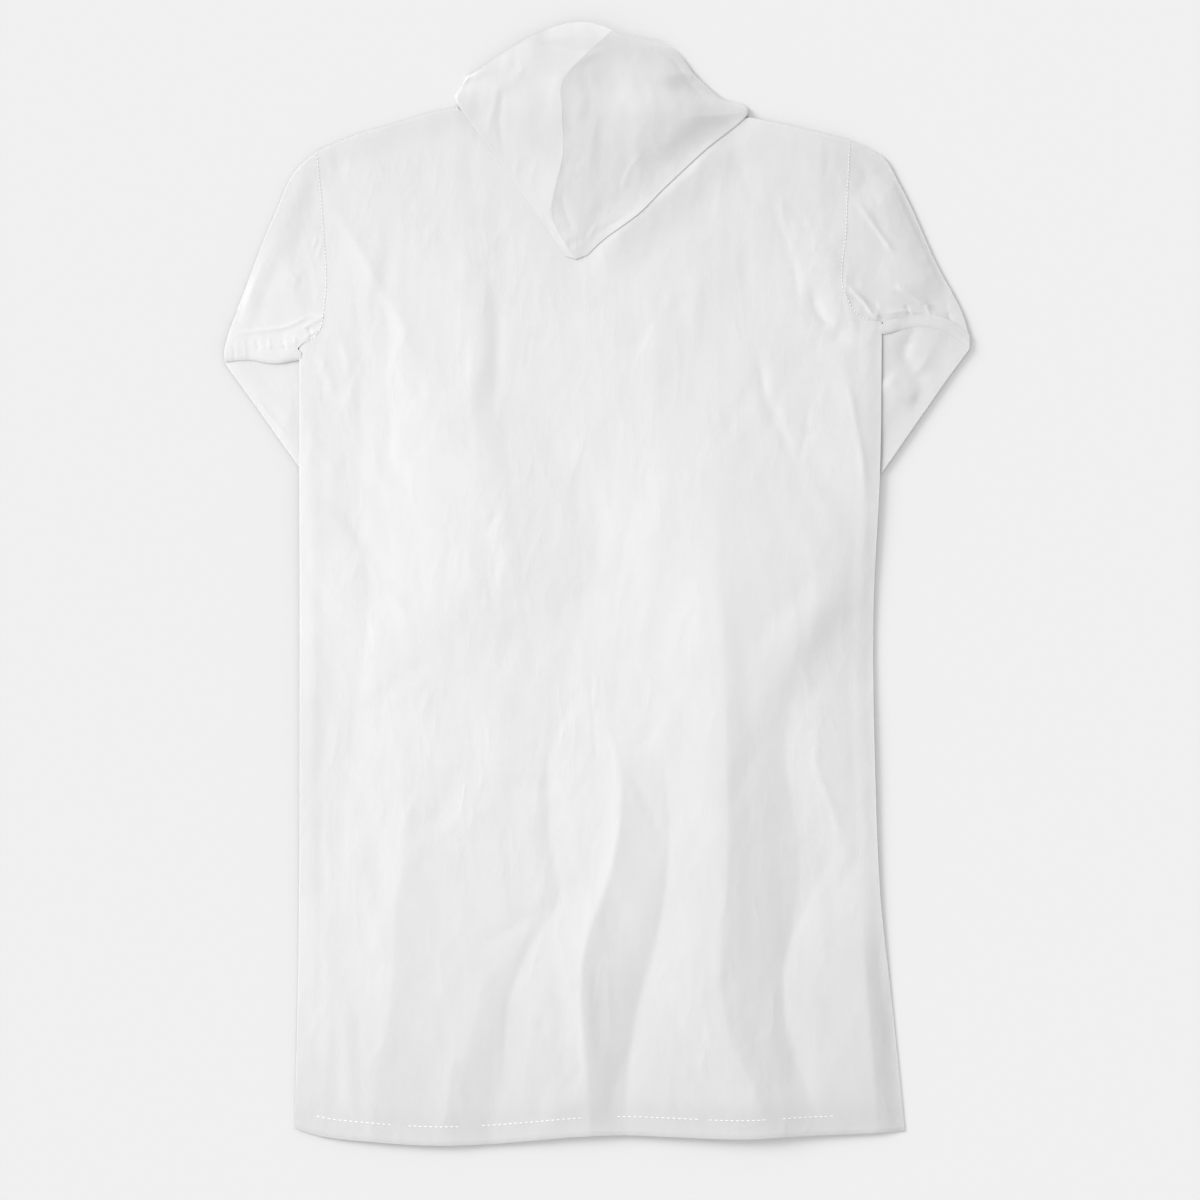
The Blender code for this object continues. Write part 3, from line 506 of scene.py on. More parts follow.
def to_line(points, line):
    """Signed distance to a line (positive on the left of its run), and share of its length."""
    line = np.array(line, float)
    run = np.concatenate([[0], np.cumsum(np.linalg.norm(np.diff(line, axis=0), axis=1))])
    nearest = np.full(len(points), np.inf)
    side = np.ones(len(points))
    share = np.zeros(len(points))
    for i in range(len(line) - 1):
        along = line[i + 1] - line[i]
        away = points - line[i]
        t = np.clip(away @ along / (along @ along), 0, 1)
        gap = np.linalg.norm(away - t[:, None] * along, axis=1)
        closer = gap < nearest
        nearest = np.where(closer, gap, nearest)
        turn = along[0] * away[:, 1] - along[1] * away[:, 0]
        side = np.where(closer, np.where(turn < 0, -1.0, 1.0), side)
        share = np.where(closer, (run[i] + t * (run[i + 1] - run[i])) / run[-1], share)
    return nearest * side, share


def distance_to(points, lines):
    """How far each point is from the nearest of the lines."""
    return np.min([np.abs(to_line(points, line)[0]) for line in lines], axis=0)


def unit(vectors):
    """Vectors made one long."""
    return vectors / np.maximum(np.linalg.norm(vectors, axis=-1, keepdims=True), 1e-9)


# ---------------------------------------------------------------- heights of the film

def crease_height(points, creases):
    """Sum of the placed creases at each point."""
    total = np.zeros(len(points))
    for name, line, right, left, height, form in creases:
        smooth = curve(line)(np.linspace(0, 1, CREASE_POINTS * len(line)))
        reach = max(right, left)
        near = np.all((points > smooth.min(0) - reach) & (points < smooth.max(0) + reach), axis=1)
        if near.any():
            away, share = to_line(points[near], smooth)
            level = np.clip(1 - np.abs(away) / np.where(away < 0, right, left), 0, 1)
            shape = level ** 2 if form == "sharp" else ease(level)
            total[near] += height * shape * ease(np.minimum(share, 1 - share) / CREASE_FADE)
    return total * CREASE_SHARE


def crumple_height(points, crumples):
    """Small seeded crumples: faint facets with a crisp crest, most of them running up and
    down the garment."""
    total = np.zeros(len(points))
    for (x0, y0, x1, y1), count, longest, narrowest, widest, highest, seed in crumples:
        pick = np.random.default_rng(seed)
        for i in range(count):
            centre = pick.uniform((x0, y0), (x1, y1))
            turn = pick.normal(math.pi / 2, CRUMPLE_SPREAD)
            length = pick.uniform(*CRUMPLE_LENGTHS) * longest
            width = pick.uniform(narrowest, widest)
            height = pick.uniform(-1.0, 1.0) * highest
            lean = pick.uniform(*CRUMPLE_LEANS)
            away = points - centre
            near = np.abs(away).max(axis=1) < length / 2 + width * lean
            along = away[near] @ (math.cos(turn), math.sin(turn))
            beside = away[near] @ (-math.sin(turn), math.cos(turn))
            level = 1 - np.abs(beside) / np.where(beside < 0, width, width * lean)
            fade = ease(CRUMPLE_END - CRUMPLE_END * np.abs(along) / (length / 2))
            level = np.clip(level, 0, 1) * fade
            total[near] += height * level
    return total


def forearm_bump(points):
    """How much a panel is lifted by the forearms that lie under it."""
    lift = np.zeros(len(points))
    for (corner, direction, length), inward in ((LEFT_FOREARM, 1), (RIGHT_FOREARM, -1)):
        along = (points - corner) @ np.array(direction)
        across = (points - corner) @ np.array((-direction[1], direction[0])) * inward
        past_end = np.maximum(np.maximum(along - length, -along), 0)
        past_side = np.maximum(np.maximum(across - FOREARM_WIDTH, -across), 0)
        away = np.hypot(past_end, past_side)
        lift = np.maximum(lift, 1 - ease((away - BUMP_KEEP) / (BUMP_END - BUMP_KEEP)))
    return lift * BUMP_HEIGHT


def fold_height(points):
    """Large crests and valleys of the back."""
    x, y = points.T
    levels = np.array(LEVELS[::-1], float)
    up = np.clip(y, levels[0], levels[-1])
    across = hermite(levels, np.array([row[1][::-1] for row in FOLDS], float), up)
    height = hermite(levels, np.array([row[2][::-1] for row in FOLDS], float), up)
    total = height[0]
    for i in range(len(FOLDS) - 1):
        width = np.maximum(across[i + 1] - across[i], 1)
        share = np.clip((x - across[i]) / width, 0, 1)
        flank = FOLD_STRAIGHT * share + (1 - FOLD_STRAIGHT) * ease(share)
        total = total + (height[i + 1] - height[i]) * flank
    return total


# Outer edges, and how far the film floats above the ground along each
CLOSED_EDGES = (
    (LEFT_SIDE, (0.7, 0.8)),
    (RIGHT_SIDE, (0.0, 0.6, 0.5)),
    (LEFT_SHOULDER + ((-150, 515),), (1.0, 1.0)),
    (LEFT_OUTER, (1.0, 1.6)),
    (RIGHT_SHOULDER, (0.4, 0.3)),
    (RIGHT_OUTER, (0.0, 0.8)),
)
HEM_EDGE = ((HEM, (0.8, 0.0)),)


def from_closed_edge(points):
    """How far each point is from the nearest closed edge."""
    return distance_to(points, [line for line, lifts in CLOSED_EDGES])


def hem_share(points):
    """Share of the folds' height that is left near the hem."""
    return HEM_KEEP + (1 - HEM_KEEP) * ease(distance_to(points, (HEM,)) / HEM_ROLL)


def under_hood(points):
    """Share of the folds' height that is left: all of it outside the hood's two lower
    edges, less under the hood."""
    tip = np.array(HOOD[0][:2])
    left, right = [np.array(HOOD[HOOD_NECK][column:column + 2]) for column in EDGES]
    inside = np.full(len(points), np.inf)
    for start, end in ((left, tip), (tip, right)):
        along = (end - start) / np.linalg.norm(end - start)
        inside = np.minimum(inside, (points - start) @ np.array((-along[1], along[0])))
    return 1 - (1 - UNDER_HOOD) * ease(inside / UNDER_RUN + 0.5)


def edge_lift(points, edges):
    """How far the film floats above the ground near its outer edges."""
    lift = np.zeros(len(points))
    for line, lifts in edges:
        away, share = to_line(points, line)
        height = np.interp(share, np.linspace(0, 1, len(lifts)), lifts)
        lift = np.maximum(lift, height * (1 - ease(np.abs(away) / EDGE_RUN)))
    return lift


def top_height(points):
    """Upper layer: back panel and upper side of both upper arms."""
    closed = from_closed_edge(points)
    puff = fold_height(points) * (EDGE_KEEP + (1 - EDGE_KEEP) * ease(closed / EDGE_ROLL))
    puff = puff * hem_share(points)
    detail = crease_height(points, CREASES) + crumple_height(points, CRUMPLES)
    puff = np.maximum(puff + detail * ease(closed / DETAIL_RUN), 0.0) * under_hood(points)
    return (LOWEST + LAYER + edge_lift(points, CLOSED_EDGES + HEM_EDGE)
            + forearm_bump(points) + puff)


def front_height(points):
    """Front panel, flat on the ground but for the forearms under it and its edges."""
    closed = from_closed_edge(points)
    rim = ((1 + FRONT_SINK) * LAYER - FILM - RIM_GAP) * (1 - ease(closed / RIM_CLOSE))
    rise = EDGE_KEEP * fold_height(points) * (1 - ease(closed / FRONT_RUN))
    rim = rim + rise * hem_share(points)
    return (LOWEST + edge_lift(points, CLOSED_EDGES + HEM_EDGE) + forearm_bump(points)
            - FRONT_SINK * LAYER + rim)


def follow(lower, upper, edge):
    """Lower layer of a flattened tube, brought up to the upper one at its folded edge."""
    return lower + np.maximum(upper - EDGE_GAP - lower, 0) * (1 - ease(edge / EDGE_ROLL))


def on_grid(height, grid):
    """Heights for a grid of plan points, as a grid of points in space."""
    flat = grid.reshape(-1, 2)
    return np.dstack([grid, height(flat).reshape(grid.shape[:2])])


# ---------------------------------------------------------------- building the film

def placed(name, data):
    """A new object in the scene."""
    made = bpy.data.objects.new(name, data)
    bpy.context.scene.collection.objects.link(made)
    return made


def evaluated(made):
    """A plain mesh of an object with its modifier applied."""
    graph = bpy.context.evaluated_depsgraph_get()
    return bpy.data.meshes.new_from_object(made.evaluated_get(graph))


class Film:
    """Grids of points on the middle of one cut of film, welded where they meet."""

    def __init__(self, name):
        self.name, self.points, self.faces = name, [], []
        self.count = 0

    def grid(self, points):
        """Rows of points. Seen from the film's outer side, the columns go to the right and
        the rows go up."""
        rows, columns = points.shape[:2]
        number = np.arange(rows * columns).reshape(rows, columns) + self.count
        self.faces.append(np.stack([number[:-1, :-1], number[:-1, 1:], number[1:, 1:],
                                    number[1:, :-1]], axis=-1).reshape(-1, 4))
        self.points.append(points.reshape(-1, 3))
        self.count += rows * columns

    def build(self, material):
        """One object at the origin: the grids welded, given a wall and closed at the rim."""
        mesh = bpy.data.meshes.new(self.name + "_middle")
        mesh.from_pydata((np.vstack(self.points) * MM).tolist(), [],
                         np.vstack(self.faces).tolist())
        work = bmesh.new()
        work.from_mesh(mesh)
        bmesh.ops.remove_doubles(work, verts=work.verts, dist=SAME_POINT * MM)
        work.to_mesh(mesh)
        work.free()
        piece = placed(self.name, mesh)
        wall = piece.modifiers.new("wall", "SOLIDIFY")
        wall.thickness = FILM * MM
        wall.offset = 0.0
        wall.use_rim = True
        done = evaluated(piece)
        piece.modifiers.remove(wall)
        piece.data = done
        bpy.data.meshes.remove(mesh)
        done.name = self.name
        done.materials.clear()
        done.materials.append(material)
        done.shade_smooth()
        done.set_sharp_from_angle(angle=math.radians(SMOOTH_ANGLE))
        return piece


def neck_line(shares, side_left, side_right, low):
    """Neckline: two quarter ellipses that meet at the centre."""
    left = shares < 0.5
    side = np.where(left[:, None], np.array(side_left, float), np.array(side_right, float))
    turn = np.pi * np.where(left, shares, 1 - shares)
    x = NECK_CENTRE + (side[:, 0] - NECK_CENTRE) * np.cos(turn)
    return np.stack([x, side[:, 1] - (side[:, 1] - low) * np.sin(turn)], axis=1)


def panel_top(low):
    """Upper boundary of a panel: shoulder, neckline, shoulder."""
    left, right = curve(LEFT_SHOULDER), curve(RIGHT_SHOULDER)

    def at(shares):
        found = neck_line(np.clip((shares - NECK_SPLIT) / (1 - 2 * NECK_SPLIT), 0, 1),
                          LEFT_SHOULDER[-1], RIGHT_SHOULDER[-1], low)
        on_left, on_right = shares < NECK_SPLIT, shares > 1 - NECK_SPLIT
        found[on_left] = left(shares[on_left] / NECK_SPLIT)
        found[on_right] = right((1 - shares[on_right]) / NECK_SPLIT)
        return found
    return at


def panel(name, low, height_of, outside, fineness, material):
    """Back or front: its hem turned up inside, then the film up to the shoulders, with the
    neckline down to low. Outside is 1 where the film's outer side is up, else -1."""
    across = np.linspace(0, 1, int(COLUMNS * fineness) + 1)
    side_length = LEFT_SIDE[-1][1] - LEFT_SIDE[0][1]
    chest = curve((LEFT_SIDE[-1], RIGHT_SIDE[-1]))
    sides = curve(LEFT_SIDE), curve(RIGHT_SIDE)
    hem = HEM_DEPTH / side_length
    up = np.linspace(0, 1, int(LOW_ROWS * fineness) + 1)
    lower = patch_grid(curve(HEM), chest, *sides, across, up)
    upper = patch_grid(chest, panel_top(low), curve(LEFT_ARMHOLE), curve(RIGHT_ARMHOLE),
                       across, np.linspace(0, 1, int(HIGH_ROWS * fineness) + 1))[1:]
    cloth = on_grid(height_of, np.concatenate([lower, upper]))
    turned = on_grid(height_of, patch_grid(curve(HEM), chest, *sides, across,
                                           np.linspace(hem, 0, TURNED_ROWS)))
    turned[..., 2] -= outside * HEM_FOLD
    edge = (turned[-1:] + cloth[:1]) / 2 - (0, HEM_BULGE, 0)
    rows = np.concatenate([turned, edge, cloth])
    film = Film(name)
    film.grid(rows if outside > 0 else rows[:, ::-1])
    return film.build(material)


def arc(plan, top, bottom, outward):
    """Points round a folded edge, from its upper side to its lower one."""
    middle, half = (top + bottom) / 2, (top - bottom) / 2
    reach = min(abs(half), FOLD_ROUND)
    turns = np.pi * np.arange(1, ARC_STEPS + 1) / (ARC_STEPS + 1)
    return np.array([(*(plan + outward * reach * np.sin(t)), middle + half * np.cos(t))
                     for t in turns])


def ring(upper_plan, upper, lower_plan, lower):
    """A flattened ring: upper side, a folded edge, lower side back and the other edge."""
    start, end = unit(upper_plan[0] - upper_plan[1]), unit(upper_plan[-1] - upper_plan[-2])
    return np.vstack([
        np.column_stack([upper_plan, upper]),
        arc((upper_plan[-1] + lower_plan[-1]) / 2, upper[-1], lower[-1], end),
        np.column_stack([lower_plan, lower])[::-1],
        arc((upper_plan[0] + lower_plan[0]) / 2, upper[0], lower[0], start)[::-1],
        [(*upper_plan[0], upper[0])],
    ])


def draw_in(plan):
    """The same section with its ends drawn in, so that its folds end on the outline."""
    start, end = unit(plan[0] - plan[1]), unit(plan[-1] - plan[-2])
    reach = FOLD_ROUND + FILM / 2
    return np.vstack([plan[:1] - start * reach, plan[1:-1], plan[-1:] - end * reach])


def upper_arm(armhole, outer, crease, across, side):
    """Rows of an upper arm from its armhole to its crease, with the heights of its upper
    and its lower layer."""
    up = np.linspace(0, 1, ARM_ROWS + 1)
    plans = patch_grid(curve(armhole), curve(crease), curve((armhole[0], crease[0])),
                       curve(outer), across, up)
    beside = unit(np.gradient(plans[0], axis=0))[:, ::-1] * (1, -1) * side
    plans[0] += beside * SEAM_GAP
    plans = np.array([draw_in(plan) for plan in plans])
    flat, shape = plans.reshape(-1, 2), plans.shape[:2]
    lift = LIP_LIFT * ease(1 - distance_to(flat, [curve(crease)(across)]) / LIP_RUN)
    upper = (top_height(flat) + lift).reshape(shape)
    bump = (forearm_bump(flat).reshape(shape) * (1 - up[:, None])).ravel()
    lower = LOWEST + edge_lift(flat, ((outer, ARM_LIFT),)) + bump
    lower = follow(lower, upper.ravel(), distance_to(flat, (outer,))).reshape(shape)
    return plans, upper, lower


def pleat_rows(crease, across, side):
    """Rows of the elbow pleat: the upper layer's, the lower layer's, and height shares."""
    tuck = np.array((-side, 0.0)) * LIP_TUCK * ease(1 - across / TUCK_RUN)[:, None]
    over, under, shares = [], [], []
    for past, past_below, share in PLEAT[1:]:
        over.append(draw_in(crease + DOWN * past + tuck * min(share * TUCK_GROW, 1.0)))
        under.append(draw_in(crease + DOWN * past_below))
        shares.append(share)
    return over, under, shares


def forearm_rows(start, bend, forearm, across, side):
    """Rows of a forearm from under the pleat to the cuff, the cuff's turned part last, and
    how far the two layers of each are drawn together."""
    corner, direction, length = np.array(forearm[0]), np.array(forearm[1]), forearm[2]
    inward = np.array((-direction[1], direction[0])) * -side
    outer_run, inner_run = curve((start[-1], corner)), curve((tuple(start[0]),) + bend[1:])
    cuff_outer = corner + direction * length
    cuff_inner = cuff_outer + inward * FOREARM_WIDTH
    shares = np.linspace(0, 1, BEND_ROWS + 1)[1:]
    down_arm = np.linspace(0, 1, FOREARM_ROWS + 1)[1:]
    turned = np.concatenate([[1.0], 1 - np.linspace(0, CUFF_DEPTH / length, CUFF_ROWS)])
    inner = inner_run(1)[0]
    firsts = list(inner_run(shares))
    firsts += [inner + (cuff_inner - inner) * t for t in (*down_arm, *turned)]
    lasts = list(outer_run(shares))
    lasts += [corner + (cuff_outer - corner) * t for t in (*down_arm, *turned)]
    rows = [draw_in(first + np.outer(across, last - first))
            for first, last in zip(firsts, lasts)]
    straight = len(rows) - len(turned)
    rows[straight:] = [draw_in(row) for row in rows[straight:]]
    return rows, [0.0] * straight + [HEM_FOLD / 2] * len(turned)


def sleeve(name, armhole, outer, crease, bend, forearm, material):
    """A tube from the armhole to the turned cuff, pleated at the elbow."""
    side = np.sign(outer[-1][0])
    across = np.linspace(0, 1, SLEEVE_COLUMNS + 1)
    lip = curve(crease)(across)
    arm, upper, lower = upper_arm(armhole, outer, crease, across, side)
    pleat_over, pleat_under, pleat_shares = pleat_rows(lip, across, side)
    rows, together = forearm_rows(lip + DOWN * LIP_DEPTH, bend, forearm, across, side)
    count = len(arm)
    over = np.array(list(arm) + pleat_over + rows)
    under = np.array(list(arm) + pleat_under + rows)
    share = np.array(pleat_shares + [0.0] * len(rows))[:, None]
    drop = np.array([0.0] * (count + len(pleat_over)) + together)[:, None]
    corner, direction, length = np.array(forearm[0]), np.array(forearm[1]), forearm[2]
    edge_run = (tuple(crease[-1]), tuple(corner), tuple(corner + direction * length))
    fore = forearm_height(over[count:].reshape(-1, 2), edge_run, crease, side)
    fore = fore.reshape(over[count:].shape[:2])
    above = np.maximum(upper[-1] - fore, LIP_LIFT)
    high = np.concatenate([upper, fore + above * share]) - drop
    ground = LOWEST + edge_lift(under[count:].reshape(-1, 2), ((edge_run, ARM_LIFT),))
    run = distance_to(over[count:].reshape(-1, 2), (edge_run,))
    low = np.concatenate([lower, follow(ground, fore.ravel(), run).reshape(fore.shape)]) + drop
    grid = np.array([ring(o, h, u, l) for o, h, u, l in zip(over, high, under, low)])
    film = Film(name)
    film.grid(grid if side < 0 else grid[:, ::-1])
    return film.build(material)


def forearm_height(plan, edge_run, crease, side):
    """Upper layer of a forearm: flat under the body, puffed up a little where it shows."""
    which = int(side > 0)
    shows = ease((np.abs(plan[:, 0]) - BODY_EDGES[which]) / SHOW_RUN + 1)
    edge = distance_to(plan, [edge_run])
    keep, width, high = FOREARM_PUFF[which]
    puff = (keep + (1 - keep) * ease(edge / width)) * high
    detail = crease_height(plan, FOREARM_CREASES) + crumple_height(plan, FOREARM_CRUMPLES)
    detail = detail * ease(edge / DETAIL_RUN)
    swell = PLEAT_SWELL * ease(1 - distance_to(plan, [crease]) / SWELL_RUN)
    return (LOWEST + LAYER + edge_lift(plan, ((edge_run, ARM_LIFT),))
            + np.maximum(puff + detail + swell, 0) * shows)


def hood_edges():
    """The hood's folded outline: left and right edge from the tip to the face edge."""
    return [np.array(HOOD, float)[:, column:column + 2] for column in EDGES]


def grown(row, first, rise, last, fall):
    """How much is there at each section: it grows past the first and fades to the last."""
    return ease((row - first) / rise) * ease((last - row) / fall)


def hood_heights(plan, row, share, side):
    """Hood's upper layer and the layer folded under it, above the back or the ground."""
    past_neck = ease((row - HOOD_NECK) / DROP_ROWS)
    edge = distance_to(plan, hood_edges())
    stand = ease(plan[:, 0] / STAND_RUN + STAND_SHIFT) * ease(1 - edge / STAND_STRIP)
    stand = HOOD_STAND * stand * ease(row / STAND_ROWS)
    base = (top_height(plan) + HOOD_LAYER + stand) * (1 - past_neck)
    base = base + (LOWEST + HOOD_EDGE * (1 - ease(edge / EDGE_RUN))) * past_neck
    seam = np.interp(row, np.arange(len(HOOD)), [section[STANDS] for section in HOOD])
    fall = seam * share
    if side > 0:
        power = FALL_POWER - FALL_LESS * ease(row - HOOD_NECK)
        belly = HOOD_BELLY * 4 * share * (1 - share) * grown(row, *BELLY_ROWS)
        fall = seam * share ** power - belly
    high = HOOD_PUFF + HOOD_END * ease(plan[:, 0] / END_RUN) * grown(row, *END_ROWS)
    puff = high * ease(edge / HOOD_ROLL + ease(row - ROLL_END)) + seam - fall
    detail = crease_height(plan, HOOD_CREASES) + crumple_height(plan, HOOD_CRUMPLES)
    detail = detail * ease(edge / DETAIL_RUN)
    return base + HOOD_LAYER + np.maximum(puff + detail, 0), base


def hood_strip(edge, row, side):
    """Lower edge of the hood past the neck: a quarter ellipse from its side to its chin."""
    share = (row - HOOD_NECK) / (len(HOOD) - 1 - HOOD_NECK)
    low = FRONT_NECK_LOW + STRIP_GAP + (CHIN_HEIGHT - SEAM_GAP) * share
    centre = NECK_CENTRE + side * SEAM_HALF
    turns = np.linspace(0, np.pi / 2, STRIP_POINTS)
    return np.stack([centre + (edge[0] - centre) * np.cos(turns),
                     edge[1] - (edge[1] - low) * np.sin(turns),
                     np.full(STRIP_POINTS, LOWEST)], axis=1)


def hood_closing(top, edge_points, bottom):
    """Rounded fold at the tip, from the upper layer down to the lower one."""
    rows = [top]
    turns = np.pi * np.arange(1, ARC_STEPS + 1) / (ARC_STEPS + 1)
    half = (top[:, 2] - bottom[:, 2]) / 2
    for turn, corner in zip(turns, edge_points):
        row = top.copy()
        row[:, 1] -= np.minimum(half, FOLD_ROUND) * np.sin(turn)
        row[:, 2] = bottom[:, 2] + half * (1 + np.cos(turn))
        row[-1] = corner
        rows.append(row)
    return np.array(rows + [bottom])


def hood_half(name, side, material):
    """Half of the hood, laid back: upper layer, folded edge, and the layer under it down to
    the neck; past the neck, a strip on the ground beside the front's neckline."""
    values, stations = np.array(HOOD, float), np.arange(len(HOOD), dtype=float)
    last = len(HOOD) - 1
    rows = np.linspace(0, last, last * HOOD_ROWS + 1)
    which = int(side > 0)
    skew, fineness = BOW_SKEW[which], HOOD_FINENESS[which]

    def at(column, row):
        return hermite(stations, values[:, column:column + 2].T, row).T

    across = np.linspace(0, 1, int(HOOD_COLUMNS * fineness) + 1)
    seam, edge = at(SEAM, rows) + (side * SEAM_HALF, 0), at(EDGES[which], rows)
    plan = seam[:, None] + (edge - seam)[:, None] * across[None, :, None]
    bow = np.interp(rows, stations, values[:, BOWS[which]])
    plan[..., 1] += bow[:, None] * 4 * across * (1 - across) * (1 + skew * (0.5 - across))
    shape = plan.shape[:2]
    upper, under = hood_heights(plan.reshape(-1, 2), np.repeat(rows, shape[1]),
                                np.tile(across, shape[0]), side)
    upper, under = upper.reshape(shape), under.reshape(shape)
    run = (at(EDGES[which], np.minimum(rows + EDGE_STEP, last))
           - at(EDGES[which], np.maximum(rows - EDGE_STEP, 0)))
    outward = unit(np.stack([run[:, 1], -run[:, 0]], axis=1)) * side
    back, front = [], []
    for i, row in enumerate(rows):
        top = np.column_stack([plan[i], upper[i]])
        if row <= HOOD_NECK:
            back.append(np.vstack([top, arc(edge[i], upper[i, -1], under[i, -1], outward[i]),
                                   np.column_stack([plan[i], under[i]])[::-1]]))
        if row >= HOOD_NECK:
            low = LOWEST if row > HOOD_NECK else under[i, -1]
            front.append(np.vstack([top, arc(edge[i], upper[i, -1], low, outward[i]),
                                    hood_strip(edge[i], row, side)]))
    count = len(across)
    tip = back[0]
    closing = hood_closing(tip[:count], tip[count:count + ARC_STEPS],
                           tip[count + ARC_STEPS:][::-1])
    film = Film(name)
    for grid in (np.array(back), np.array(front), closing[::-1]):
        film.grid(grid if side > 0 else grid[:, ::-1])
    return film.build(material)


# ---------------------------------------------------------------- materials

def linear(code):
    """An sRGB hex colour as linear values."""
    channels = [int(code[i:i + 2], 16) / 255 for i in (1, 3, 5)]
    return [c / 12.92 if c <= 0.04045 else ((c + 0.055) / 1.055) ** 2.4
            for c in channels] + [1.0]


def add(tree, kind, settings=None, inputs=None):
    """A node with its settings, and its inputs set or linked."""
    node = tree.nodes.new(kind)
    for key, value in (settings or {}).items():
        setattr(node, key, value)
    for key, value in (inputs or {}).items():
        if isinstance(value, bpy.types.NodeSocket):
            tree.links.new(value, node.inputs[key])
        else:
            node.inputs[key].default_value = value
    return node


def new_material(name, inputs):
    """A material whose shader has these values, with its tree and its shader."""
    material = bpy.data.materials.new(name)
    material.use_nodes = True
    tree = material.node_tree
    shader = tree.nodes["Principled BSDF"]
    for key, value in inputs.items():
        shader.inputs[key].default_value = value
    return material, tree, shader


def milky_film(name, milk, thin, shift, alpha):
    """Cast PEVA film, 0.15 mm: milky, a little thinner in drawn-out patches, see-through by
    a part, with a soft sheen and the fine crinkles that folding and packing leave in it."""
    material, tree, shader = new_material(name, {
        "Roughness": 0.46, "Specular IOR Level": 0.3, "IOR": 1.49, "Alpha": alpha})
    place = add(tree, "ShaderNodeTexCoord").outputs["Object"]
    grain = add(tree, "ShaderNodeMapping", {}, {
        "Vector": place, "Scale": (1.0, 0.42, 1.0), "Location": (shift, shift * 0.7, 0.0)})
    crinkle = add(tree, "ShaderNodeTexNoise", {"noise_type": "RIDGED_MULTIFRACTAL"}, {
        "Vector": grain.outputs[0], "Scale": 1 / (CRINKLE * MM), "Detail": 2.2,
        "Roughness": 0.5, "Offset": 0.9, "Gain": 1.6, "Distortion": 0.35})
    cloud = add(tree, "ShaderNodeTexNoise", {}, {
        "Vector": grain.outputs[0], "Scale": 1 / (CLOUD * MM), "Detail": 2.0,
        "Roughness": 0.55})
    share = add(tree, "ShaderNodeMapRange", {}, {
        "Value": cloud.outputs[0], "From Min": 0.38, "From Max": 0.62})
    mix = add(tree, "ShaderNodeMix", {"data_type": "RGBA"}, {"Factor": share.outputs[0]})
    mix.inputs[6].default_value = linear(thin)
    mix.inputs[7].default_value = linear(milk)
    tree.links.new(mix.outputs[2], shader.inputs["Base Color"])
    bump = add(tree, "ShaderNodeBump", {}, {
        "Strength": 0.30, "Distance": CRINKLE_DEPTH * MM, "Height": crinkle.outputs[0]})
    tree.links.new(bump.outputs[0], shader.inputs["Normal"])
    return material


def welded_film(name):
    """The same film pressed together by a hot wheel: whiter and smoother in the weld."""
    material, tree, shader = new_material(name, {
        "Base Color": linear(WELD_MILK), "Roughness": 0.28, "IOR": 1.49, "Alpha": WELD_ALPHA})
    place = add(tree, "ShaderNodeTexCoord").outputs["Object"]
    grain = add(tree, "ShaderNodeTexNoise", {}, {
        "Vector": place, "Scale": 1 / (WELD_GRAIN * MM)})
    bump = add(tree, "ShaderNodeBump", {}, {
        "Strength": 0.4, "Distance": WELD_DEPTH * MM, "Height": grain.outputs[0]})
    tree.links.new(bump.outputs[0], shader.inputs["Normal"])
    return material


def paper_floor():
    """Plain pale studio paper, matt."""
    return new_material("studio_paper", {
        "Base Color": linear(FLOOR_PAPER), "Roughness": 0.9, "Specular IOR Level": 0.1})[0]


# ---------------------------------------------------------------- welds

def weld_tree():
    """Node tree: small pressed dashes along a curve."""
    tree = bpy.data.node_groups.new("weld_dashes", "GeometryNodeTree")
    face = tree.interface
    face.new_socket("Line", in_out="INPUT", socket_type="NodeSocketGeometry")
    for name in ("Spacing", "Length", "Width", "Height"):
        face.new_socket(name, in_out="INPUT", socket_type="NodeSocketFloat")
    face.new_socket("Material", in_out="INPUT", socket_type="NodeSocketMaterial")
    face.new_socket("Welds", in_out="OUTPUT", socket_type="NodeSocketGeometry")
    given = add(tree, "NodeGroupInput")
    points = add(tree, "GeometryNodeCurveToPoints", {"mode": "LENGTH"},
                 {"Curve": given.outputs["Line"], "Length": given.outputs["Spacing"]})
    size = add(tree, "ShaderNodeCombineXYZ", {}, {
        "X": given.outputs["Width"], "Y": given.outputs["Height"], "Z": given.outputs["Length"]})
    dash = add(tree, "GeometryNodeMeshUVSphere", {}, {"Segments": 8, "Rings": 5, "Radius": 0.5})
    dashes = add(tree, "GeometryNodeInstanceOnPoints", {}, {
        "Points": points.outputs["Points"], "Instance": dash.outputs["Mesh"],
        "Rotation": points.outputs["Rotation"], "Scale": size.outputs[0]})
    real = add(tree, "GeometryNodeRealizeInstances", {}, {"Geometry": dashes.outputs[0]})
    dressed = add(tree, "GeometryNodeSetMaterial", {}, {
        "Geometry": real.outputs[0], "Material": given.outputs["Material"]})
    add(tree, "NodeGroupOutput", {}, {"Welds": dressed.outputs[0]})
    return tree


